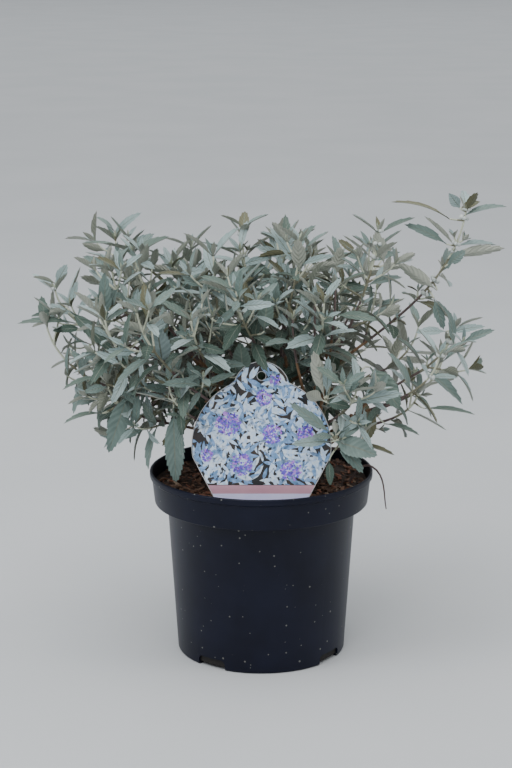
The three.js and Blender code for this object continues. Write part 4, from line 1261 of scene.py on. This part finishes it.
# across the upper side from edge to edge, then back along the underside
LEAF_COLUMNS = np.array([-1.0, -VEIN, -RIB, RIB, VEIN, 1.0, VEIN, RIB, -RIB, -VEIN])
UPPER_COLUMNS = 6
IS_UPPER, IS_RIB, IS_UNDER = 0, 1, 2
FACES_ROUND = [IS_UPPER, IS_UPPER, IS_RIB, IS_UPPER, IS_UPPER] + [IS_UNDER] * 5
LEAF_THICKNESS, RIB_PROUD, BLADE_PROUD = 0.32, 0.35, 0.15
STALK_SHARE, STALK_WIDTH = 0.10, 0.09
TOOTH_SLANT = 0.9


def blade_width(share, fullness):
    """Half width along the leaf, as a share of the widest: a short stalk, then a lance shape."""
    along = np.clip((share - STALK_SHARE) / (1 - STALK_SHARE), 0, 1)
    lance = np.sin(np.pi * along**0.74) ** fullness
    return np.maximum(lance, STALK_WIDTH * (share < 0.9))


def leaf_faces(count, bands):
    """Faces of `count` leaves, and for each face of one whether it is upper side, rib or underside."""
    ring = len(LEAF_COLUMNS)
    top, tip = (bands - 1) * ring, bands * ring
    faces = [tuple(reversed(range(ring))), *ring_faces(bands, ring)]
    faces += [(top + k, top + (k + 1) % ring, tip) for k in range(ring)]
    starts = range(0, count * (tip + 1), tip + 1)
    everything = [tuple(start + v for v in face) for start in starts for face in faces]
    return everything, np.array([IS_UNDER] + FACES_ROUND * bands)


# %% Bend, fold and place the leaves
def build_leaves(chosen, bands, tooth, quilt, fullness):
    """Points of all chosen leaves, as rings of ten round each blade, and one point at each tip."""
    def each(key):
        return np.array([leaf[key] for leaf in chosen], dtype=float)[:, None]

    share = np.linspace(0, 1, bands + 1)[:-1][None, :]
    odd = (np.arange(bands) % 2)[None, :]
    length, along, face, bend = each("length"), each("along"), each("face"), each("bend") + LEAST_BEND
    angle = bend * (STRAIGHT_AT - share)
    reach = (np.sin(STRAIGHT_AT * bend) - np.sin(angle)) / bend * length
    lift = (np.cos(angle) - np.cos(STRAIGHT_AT * bend)) / bend * length
    middle = each("root") + along * reach[..., None] + face * lift[..., None]
    forward = along * np.cos(angle)[..., None] + face * np.sin(angle)[..., None]
    normal = face * np.cos(angle)[..., None] - along * np.sin(angle)[..., None]
    twist = (each("twist") * share)[..., None]
    across = np.cross(along, face)
    sideways = across * np.cos(twist) + normal * np.sin(twist)
    outward = normal * np.cos(twist) - across * np.sin(twist)
    half = blade_width(share, fullness) * each("width") / 2
    rings = []
    for number, column in enumerate(LEAF_COLUMNS):
        off, edge = abs(column), abs(column) == 1
        reach_out = column * half * (1 + tooth * (1 - 2 * odd) * edge)
        rise = each("fold") * off * half * (1.0 - 0.35 * off)
        if number < UPPER_COLUMNS:
            rise = rise + quilt * half * (2 * odd - 1) * (off == VEIN)
        else:
            rise = rise - quilt * half - LEAF_THICKNESS - (RIB_PROUD if off == RIB else BLADE_PROUD)
        slide = TOOTH_SLANT * np.sign(tooth) * (1 - odd) * edge * length / bands
        ring = middle + sideways * reach_out[..., None] + outward * rise[..., None]
        rings.append(ring + forward * slide[..., None])
    body = np.stack(rings, axis=2)
    tips = np.array([leaf_middle(leaf, 1.0) for leaf in chosen])[:, None, :]
    points = np.concatenate([body.reshape(len(chosen), -1, 3), tips], axis=1)
    return points.reshape(-1, 3) * MM


# %% [markdown]
# ## The felt on the leaves
# Short white hairs cover a bluebeard leaf, more of them on young leaves and on the underside, so the
# green shows through as grey. A high roughness and some sheen give that soft dry look. Ageing goes
# from silver through sage to a dull green, and each leaf drifts a little by itself.

# %% Felt
VEIN_PAIRS = 8
VEIN_SLANT = -0.34


def vein_relief(material):
    """Height that dips along side veins, which leave the midrib in pairs and run forward."""
    place = node(material, "ShaderNodeUVMap", uv_map="leaf_grain").outputs["UV"]
    parts = node(material, "ShaderNodeSeparateXYZ", Vector=place)
    off = maths(material, "ABSOLUTE", maths(material, "SUBTRACT", parts.outputs["Y"], 0.5))
    slant = maths(material, "MULTIPLY_ADD", off, VEIN_SLANT, parts.outputs["X"])
    return maths(material, "SINE", maths(material, "MULTIPLY", slant, 2 * math.pi * VEIN_PAIRS))


def felt(name, colour, other, sheen, relief=1.0):
    """Soft hairy skin: its colour drifts from leaf to leaf, over each leaf, and a little at its veins."""
    finish = {"Sheen_Weight": sheen, "Sheen_Roughness": 0.45, "Specular_IOR_Level": 0.35}
    material, shader = new_material(name, 0.55, **finish)
    by_leaf = node(material, "ShaderNodeNewGeometry").outputs["Random Per Island"]
    cloud = maths(material, "MULTIPLY", noise_field(material, 140.0), 0.5)
    both = maths(material, "MULTIPLY_ADD", by_leaf, 0.5, cloud)
    veins = vein_relief(material)
    shaded = maths(material, "MULTIPLY_ADD", veins, 0.05 * relief, both)
    drift(material, shader, colour, other, shaded, 0.2, 0.8)
    height = maths(material, "MULTIPLY_ADD", noise_field(material, 1300.0), 0.55, veins)
    bump(material, shader, height, 0.55 * relief, 0.0003)
    return material


# %% Leaf materials
# five upper sides from old to young, the rib, two undersides, an olive that is painted light shining
# through a leaf, and a cream for the hearts of the tufts
LEAF_MATERIALS = [
    felt("old_leaf_green", (0.021, 0.044, 0.028), (0.046, 0.078, 0.052), 0.05),
    felt("sage_leaf", (0.042, 0.074, 0.056), (0.080, 0.120, 0.096), 0.08),
    felt("grey_green_leaf", (0.070, 0.108, 0.086), (0.122, 0.170, 0.141), 0.12),
    felt("silver_leaf", (0.100, 0.148, 0.131), (0.172, 0.235, 0.213), 0.15),
    felt("pale_silver_tip", (0.200, 0.272, 0.264), (0.350, 0.440, 0.435), 0.2),
    felt("pale_leaf_rib", (0.115, 0.142, 0.112), (0.190, 0.218, 0.175), 0.1),
    felt("tan_underside", (0.176, 0.190, 0.148), (0.284, 0.300, 0.240), 0.12, 1.2),
    felt("pale_underside", (0.296, 0.310, 0.256), (0.414, 0.430, 0.364), 0.18, 1.3),
    # olive: painted light shining through the leaf
    felt("lit_through_olive_leaf", (0.085, 0.084, 0.044), (0.145, 0.142, 0.080), 0.1),
    felt("cream_leaf_heart", (0.350, 0.390, 0.285), (0.530, 0.570, 0.430), 0.15),
]
UPPER_TINTS = 5
RIB_SLOT, UNDER_SLOT, LIT_THROUGH_SLOT, HEART_SLOT = 5, 6, 8, 9
TINT_EASE, PALE_UNDER_FROM = 1.15, 0.62


# %% Make the leaf pieces
def lay_out(piece, count, bands):
    """A UV map that runs from 0 to 1 along each leaf and across it."""
    along = np.repeat(np.linspace(0, 1, bands + 1)[:-1], len(LEAF_COLUMNS))
    across = np.tile(LEAF_COLUMNS / 2 + 0.5, bands)
    one = np.column_stack([np.append(along, 1.0), np.append(across, 0.5)])
    corners = np.empty(len(piece.data.loops), dtype=np.int32)
    piece.data.loops.foreach_get("vertex_index", corners)
    layer = piece.data.uv_layers.new(name="leaf_grain")
    layer.data.foreach_set("uv", np.tile(one, (count, 1))[corners].ravel())


def leaf_slots(leaf, kinds):
    """The material slot of each face of a leaf, by its tint."""
    upper = int(leaf["tint"] ** TINT_EASE * UPPER_TINTS)
    under = UNDER_SLOT + (leaf["tint"] > PALE_UNDER_FROM)
    # an olive leaf is painted light shining through it, the same on both sides
    if leaf["lit_through"] or leaf.get("heart"):
        upper = under = LIT_THROUGH_SLOT if leaf["lit_through"] else HEART_SLOT
    return np.select([kinds == IS_UPPER, kinds == IS_RIB], [upper, RIB_SLOT], under)


def leaf_piece(name, chosen, bands, *shape):
    points = build_leaves(chosen, bands, *shape)
    faces, kinds = leaf_faces(len(chosen), bands)
    slots = np.concatenate([leaf_slots(leaf, kinds) for leaf in chosen])
    piece = make_piece(name, points, faces, LEAF_MATERIALS, slots, crease_deg=75)
    lay_out(piece, len(chosen), bands)
    return piece


GROWN_FROM, YOUNG_FROM, SMALL_TO = 0.34, 0.74, 20
# bands along the blade, depth of the teeth, depth of the quilting, fullness of the outline
LEAF_PIECES = {
    "old_leaves": (24, 0.06, 0.05, 0.8),
    "grown_leaves": (12, 0.045, 0.05, 0.9),
    "young_leaves": (10, 0.02, 0.05, 0.95),
    "small_leaves": (7, 0.0, 0.03, 1.0),
}


def piece_of(leaf):
    if leaf["youth"] < GROWN_FROM:
        return "old_leaves"
    if leaf["length"] < SMALL_TO:
        return "small_leaves"
    return "grown_leaves" if leaf["youth"] < YOUNG_FROM else "young_leaves"


for name, shape in LEAF_PIECES.items():
    chosen = [leaf for leaf in leaves if piece_of(leaf) == name]
    belongs(leaf_piece(name, chosen, *shape), "foliage", *foliage_nodes)

# %% [markdown]
# ## Flower buds
# On the tall shoots the leaf angles already hold flower buds, small knobs of white felt in clusters.
# A bud is a squashed ball on a short neck, turned from one profile like the pot, so all buds share
# one small mesh pattern that is copied to its places.

# %% Set the buds in the leaf angles
BUD_MASSES = ["top_right", "upper_right", "right_outer", "right_front", "crown_top", "left_outer"]
PLACED_BUDS = [
    ((160, -12, 372), 1.15),
    ((155, -12, 346), 1.3),
    ((147, -12, 312), 1.2),
    ((114, 10, 350), 1.2),
    ((122, -5, 322), 1.2),
    ((152, -26, 270), 1.3),
]
BUDS_AT_NODE = 5
BUD_SIDES = 10
BUD_PROFILE = [
    (0, -1.2), (0.35, -1.1), (0.45, -0.6), (0.8, -0.35), (1.0, 0.1), (0.85, 0.6), (0.45, 0.95), (0, 1.05),
]

bud_points, bud_faces = lathe(BUD_PROFILE, BUD_SIDES)
bud_stems = [mass["stem"] for mass in masses if mass["name"] in BUD_MASSES]
bud_nodes = [(stem[row], 1.0) for stem in bud_stems for row in (-2, -1)]
bud_nodes += [(nearest_limb(Vector(spot)), size) for spot, size in PLACED_BUDS]
parts = []
for place, (step, large) in enumerate(bud_nodes):
    for k in range(BUDS_AT_NODE):
        turn = 2 * math.pi * (k + draw(31, place, k, 1)) / BUDS_AT_NODE
        way = (off_stem(step, turn) + step[1] * 0.9).normalized()
        size = (1.0 + 0.9 * draw(31, place, k, 2)) * large
        stand = way.to_track_quat("Z", "Y").to_matrix()
        centre = step[0] + way * (1.0 + 1.3 * size)
        parts.append(([(centre + stand @ Vector(p) * size) * MM for p in bud_points], bud_faces))
bud_felt = felt("white_bud_felt", (0.42, 0.46, 0.44), (0.60, 0.63, 0.60), 0.3, 0.3)
flower_buds = make_piece("flower_buds", *joined(parts), [bud_felt])
belongs(flower_buds, "foliage", *foliage_nodes)

# %% [markdown]
# ## Stems and shoots
# A bluebeard stem is brown and woody at its foot, purple-brown in the middle and silver with felt at
# its tip. Each tube below takes its colour ring by ring from its age along the stem, and a shallow
# relief keeps it from looking turned on a lathe.

# %% Make the stems
STEM_SIDES, STEM_RELIEF = 8, 0.08
# the ages at which one colour gives way to the next
STEM_TURNS = (0.2, 0.56, 0.76)
FOOT_COLOUR, TIP_COLOUR = 0, 3

parts, stem_slots = [], []
for number, twig in enumerate(twigs):
    steps = len(twig["path"]) - 1
    radii = [mix(twig["radii"], row / steps) for row in range(steps + 1)]
    parts.append(tube(twig["path"], radii, STEM_SIDES, STEM_RELIEF, number * 3.0, cap=1.0))
    for row in range(steps):
        youth = mix(twig["youth"], (row + 0.5) / steps)
        stem_slots += [sum(youth > limit for limit in STEM_TURNS)] * STEM_SIDES
    stem_slots += [TIP_COLOUR] * STEM_SIDES + [FOOT_COLOUR]
stems = make_piece("stems", *joined(parts), STEM_COLOURS, stem_slots)
belongs(stems, "foliage", *foliage_nodes)

# %% [markdown]
# ## The label
# The label is a thin printed card: a large disc with a small round head, tapering to a tongue in the
# compost, and a hole to hang it by. Its print is a generic pattern of silver leaf sprigs and violet
# flower heads over a dark ground, above a plain rose band and a lavender foot. Each motif is a very
# thin layer of its own colour on the card, so the print stays sharp from close by.

# %% The card's measures and outline
CARD_THICKNESS = 0.8
FRONT = CARD_THICKNESS / 2
HEAD_RADIUS, HEAD_CENTRE_Z, HEAD_MEETS_Z = 23, 243, 249
HOLE_RADIUS, HOLE_Z, HOLE_EDGE, HOLE_SIDES = 3.5, 254, 0.4, 24
TAPER_TOP_Z, TAPER_FOOT_X, TAPER_FOOT_Z = 187, 26, 128
TONGUE_X, TONGUE_Z, TONGUE_TIP_Z = 9, 122, 100


def disc_and_head(shrink=0.0):
    """The outline of the card's disc and head in its own plane, anticlockwise from the right."""
    disc, head = CARD_RADIUS - shrink, HEAD_RADIUS - shrink
    taper = math.degrees(math.asin((TAPER_TOP_Z - CARD_CENTRE_Z) / CARD_RADIUS))
    meet = math.degrees(math.asin((HEAD_MEETS_Z - CARD_CENTRE_Z) / CARD_RADIUS))
    meet_x = CARD_RADIUS * math.cos(math.radians(meet))
    turn = math.degrees(math.atan2(HEAD_MEETS_Z - HEAD_CENTRE_Z, meet_x))
    outline = arc((0, CARD_CENTRE_Z), disc, taper, meet, 24)
    outline += arc((0, HEAD_CENTRE_Z), head, turn, 180 - turn, 28)
    return outline + arc((0, CARD_CENTRE_Z), disc, 180 - meet, 180 - taper, 24)


def card_outline():
    """The whole outline, from the tongue's tip, anticlockwise."""
    right = [(0, TONGUE_TIP_Z), (TONGUE_X, TONGUE_TIP_Z + TONGUE_X), (TONGUE_X, TONGUE_Z)]
    right += [(TAPER_FOOT_X, TAPER_FOOT_Z)]
    return right + disc_and_head() + [(-x, z) for x, z in reversed(right[1:])]


def on_card(x, z, proud):
    """A point of the card's plane in the plant's space, `proud` millimetres off its middle."""
    up = z - SOIL_LEVEL / MM
    y = up * math.sin(CARD_LEAN) - proud * math.cos(CARD_LEAN)
    height = up * math.cos(CARD_LEAN) + proud * math.sin(CARD_LEAN)
    return Vector((x, y + CARD_FRONT_Y, height + SOIL_LEVEL / MM)) * MM


# %% Cut the card
def punched(rim, hole_radius, proud):
    """Triangles that fill an outline on the card, apart from the round hole in the card's head."""
    hole = arc((0, HOLE_Z), hole_radius, 0, 360, HOLE_SIDES)[:-1]
    made = bmesh.new()
    edges = []
    for loop in (rim, hole):
        verts = [made.verts.new(on_card(x, z, proud)) for x, z in loop]
        edges += [made.edges.new((verts[i], verts[(i + 1) % len(verts)])) for i in range(len(verts))]
    bmesh.ops.triangle_fill(made, use_beauty=True, use_dissolve=False, edges=edges)
    return made


cut = punched(card_outline(), HOLE_RADIUS, FRONT)
push_through(cut, on_card(0, 0, -FRONT) - on_card(0, 0, FRONT))
card = closed_object("label_card", cut)
whites = ((0.60, 0.60, 0.60), (0.66, 0.66, 0.66))
card.data.materials.append(mottled("white_card_plastic", 0.38, whites, (60.0,), ((500.0,), 0.05, 0.0002)))
belongs(card, "label", "label")


# %% Inks
def ink(name, colour, other, scale):
    return mottled(name, 0.34, (colour, other), (scale,), Coat_Weight=0.25, Coat_Roughness=0.25)


INKS = [
    ink("dark_ground_ink", (0.010, 0.012, 0.016), (0.050, 0.032, 0.024), 90.0),
    ink("silver_leaf_ink", (0.50, 0.70, 1.0), (0.82, 0.92, 1.0), 400.0),
    ink("grey_leaf_ink", (0.14, 0.29, 0.52), (0.30, 0.48, 0.80), 400.0),
    ink("violet_ink", (0.130, 0.080, 0.640), (0.240, 0.160, 0.860), 600.0),
    ink("lilac_ink", (0.460, 0.170, 0.780), (0.640, 0.320, 0.950), 600.0),
    ink("rose_band_ink", (0.580, 0.310, 0.390), (0.640, 0.360, 0.440), 40.0),
    ink("lavender_foot_ink", (0.660, 0.660, 0.980), (0.740, 0.740, 1.0), 40.0),
]
GROUND, SILVER, GREY, VIOLET, LILAC, ROSE, LAVENDER = range(7)

# %% Shapes and layers of the print
LAYER_RISE = 0.04
BAND_Z = (156.5, 163.5)
PRINT_MARGIN = 0.8
print_points, print_faces, print_slots = [], [], []


def taper_x(z):
    """Half the card's width where it narrows towards its foot."""
    share = (z - TAPER_FOOT_Z) / (TAPER_TOP_Z - TAPER_FOOT_Z)
    return mix((TAPER_FOOT_X, CARD_RADIUS * 0.9875), share)


def inside_print(x, z):
    """Pulls a motif's point back onto the printed field of the disc and head."""
    z = max(z, BAND_Z[1] + 0.4)
    in_head = z > HEAD_MEETS_Z
    centre = HEAD_CENTRE_Z if in_head else CARD_CENTRE_Z
    radius = (HEAD_RADIUS if in_head else CARD_RADIUS) - PRINT_MARGIN
    off = math.hypot(x, z - centre)
    if off > radius:
        x, z = x * radius / off, centre + (z - centre) * radius / off
    if z < TAPER_TOP_Z:
        widest = taper_x(z) - PRINT_MARGIN
        x = min(max(x, -widest), widest)
    return x, z


def print_shape(outline, ink_slot, layer):
    """Prints a shape on its layer, unless it would lie over the hole."""
    if any(math.hypot(x, z - HOLE_Z) < HOLE_RADIUS + HOLE_EDGE for x, z in outline):
        return
    start = len(print_points)
    print_points.extend(on_card(x, z, FRONT + LAYER_RISE * layer) for x, z in outline)
    print_faces.append(tuple(range(start, start + len(outline))))
    print_slots.append(ink_slot)


# %% Print the ground, the band and the foot
def print_ground(outline):
    """The dark ground of the disc and head, left open round the hole."""
    start = len(print_points)
    made = punched(outline, HOLE_RADIUS + HOLE_EDGE, FRONT + LAYER_RISE)
    made.verts.index_update()
    made.normal_update()
    for face in made.faces:
        if face.normal.y > 0:
            face.normal_flip()
    print_points.extend(vert.co.copy() for vert in made.verts)
    print_faces.extend(tuple(start + vert.index for vert in face.verts) for face in made.faces)
    print_slots.extend([GROUND] * len(made.faces))
    made.free()


def card_strip(low, high, ink_slot):
    """The part of the card between two heights, a little inside its edge."""
    low_x, high_x = taper_x(low) - 0.6, taper_x(high) - 0.6
    print_shape([(-low_x, low), (low_x, low), (high_x, high), (-high_x, high)], ink_slot, 1)


card_strip(TAPER_FOOT_Z + 0.5, BAND_Z[0], LAVENDER)
card_strip(*BAND_Z, ROSE)
card_strip(BAND_Z[1], TAPER_TOP_Z, GROUND)
print_ground(disc_and_head(0.5))
print("faces of the plain print:", len(print_faces))

# %% Sprigs and flower heads
SPRIG_SPACING, SPRIG_ROW_SHARE, SPRIG_ROWS, SPRIGS_TO_SIDE = 8.6, 0.95, 13, 8
SPRIG_LEAVES = [(0, 1.0), (0, -1.0), (0.4, 0.75), (0.4, -0.75), (0.8, 0)]
HOLE_KEPT_CLEAR = 6.5
OUT_SHARES, BACK_SHARES = (0.0, 0.25, 0.5, 0.75, 1.0), (0.75, 0.5, 0.25)
PETAL_DENSITY = 1.9
PETAL_CORNERS, PETAL_CORNER_TURN = 6, 1.047
FLOWER_LAYER = 8
FLOWERS = [
    (-27, 215, 10), (2, 236, 6.5), (24, 176, 8.5), (-16, 181, 9),
    (9, 206, 8), (-45, 189, 5.5), (36, 206, 7), (11, 251, 4.5),
]


def print_leaf(x, z, length, turn, ink_slot, layer):
    outline = []
    for side, shares in ((-1, OUT_SHARES), (1, BACK_SHARES)):
        for share in shares:
            across = side * 0.14 * length * math.sin(math.pi * share**0.8)
            forward = length * share
            px = x + forward * math.cos(turn) - across * math.sin(turn)
            pz = z + forward * math.sin(turn) + across * math.cos(turn)
            outline.append(inside_print(px, pz))
    print_shape(outline, ink_slot, layer)


def print_sprig(x, z, turn, size, seed):
    """Five leaves off a common stalk: two pairs at wide angles, and one at its end."""
    for number, (forward, off) in enumerate(SPRIG_LEAVES):
        px = x + forward * size * math.cos(turn)
        pz = z + forward * size * math.sin(turn)
        bright = SILVER if draw(5, seed, number) < 0.6 else GREY
        length = size * (0.75 + 0.35 * draw(5, seed, number, 1))
        print_leaf(px, pz, length, turn + off, bright, 2 + (seed + number) % 5)


def print_flower(x, z, radius, seed):
    for number in range(int(PETAL_DENSITY * radius * radius)):
        off = radius * math.sqrt(draw(6, seed, number, 1))
        turn = 2 * math.pi * draw(6, seed, number, 2)
        cx, cz = x + off * math.cos(turn), z + off * math.sin(turn)
        size = 0.55 + 0.5 * draw(6, seed, number, 3)
        turns = np.arange(PETAL_CORNERS) * PETAL_CORNER_TURN
        petal = [inside_print(cx + size * math.cos(t), cz + size * math.sin(t)) for t in turns]
        ink_slot = VIOLET if draw(6, seed, number, 4) < 0.6 else LILAC
        print_shape(petal, ink_slot, FLOWER_LAYER + number % 3)


# %% Print the sprigs and flower heads
for row in range(SPRIG_ROWS):
    for column in range(-SPRIGS_TO_SIDE, SPRIGS_TO_SIDE + 1):
        seed = row * 40 + column + 20
        x = (column + 0.5 * (row % 2) + 0.5 * (draw(4, seed, 1) - 0.5)) * SPRIG_SPACING
        z = BAND_Z[1] + 3 + (row + 0.5 * (draw(4, seed, 2) - 0.5)) * SPRIG_SPACING * SPRIG_ROW_SHARE
        if inside_print(x, z) == (x, z) and math.hypot(x, z - HOLE_Z) > HOLE_KEPT_CLEAR:
            print_sprig(x, z, 2 * math.pi * draw(4, seed, 3), 9.5 + 6 * draw(4, seed, 4), seed)
for seed, flower in enumerate(FLOWERS):
    print_flower(*flower, seed)
card_print = make_piece("label_print", print_points, print_faces, INKS, print_slots, crease_deg=None)
belongs(card_print, "label")

# %% [markdown]
# ## The solids' box
# The frame is left in place, its solids hidden where finer meshes stand for them, and we print
# the solids' box.

# %% Note the solids' box
print("solids' box:", [[round(v, 4) for v in corner] for corner in cad_box])
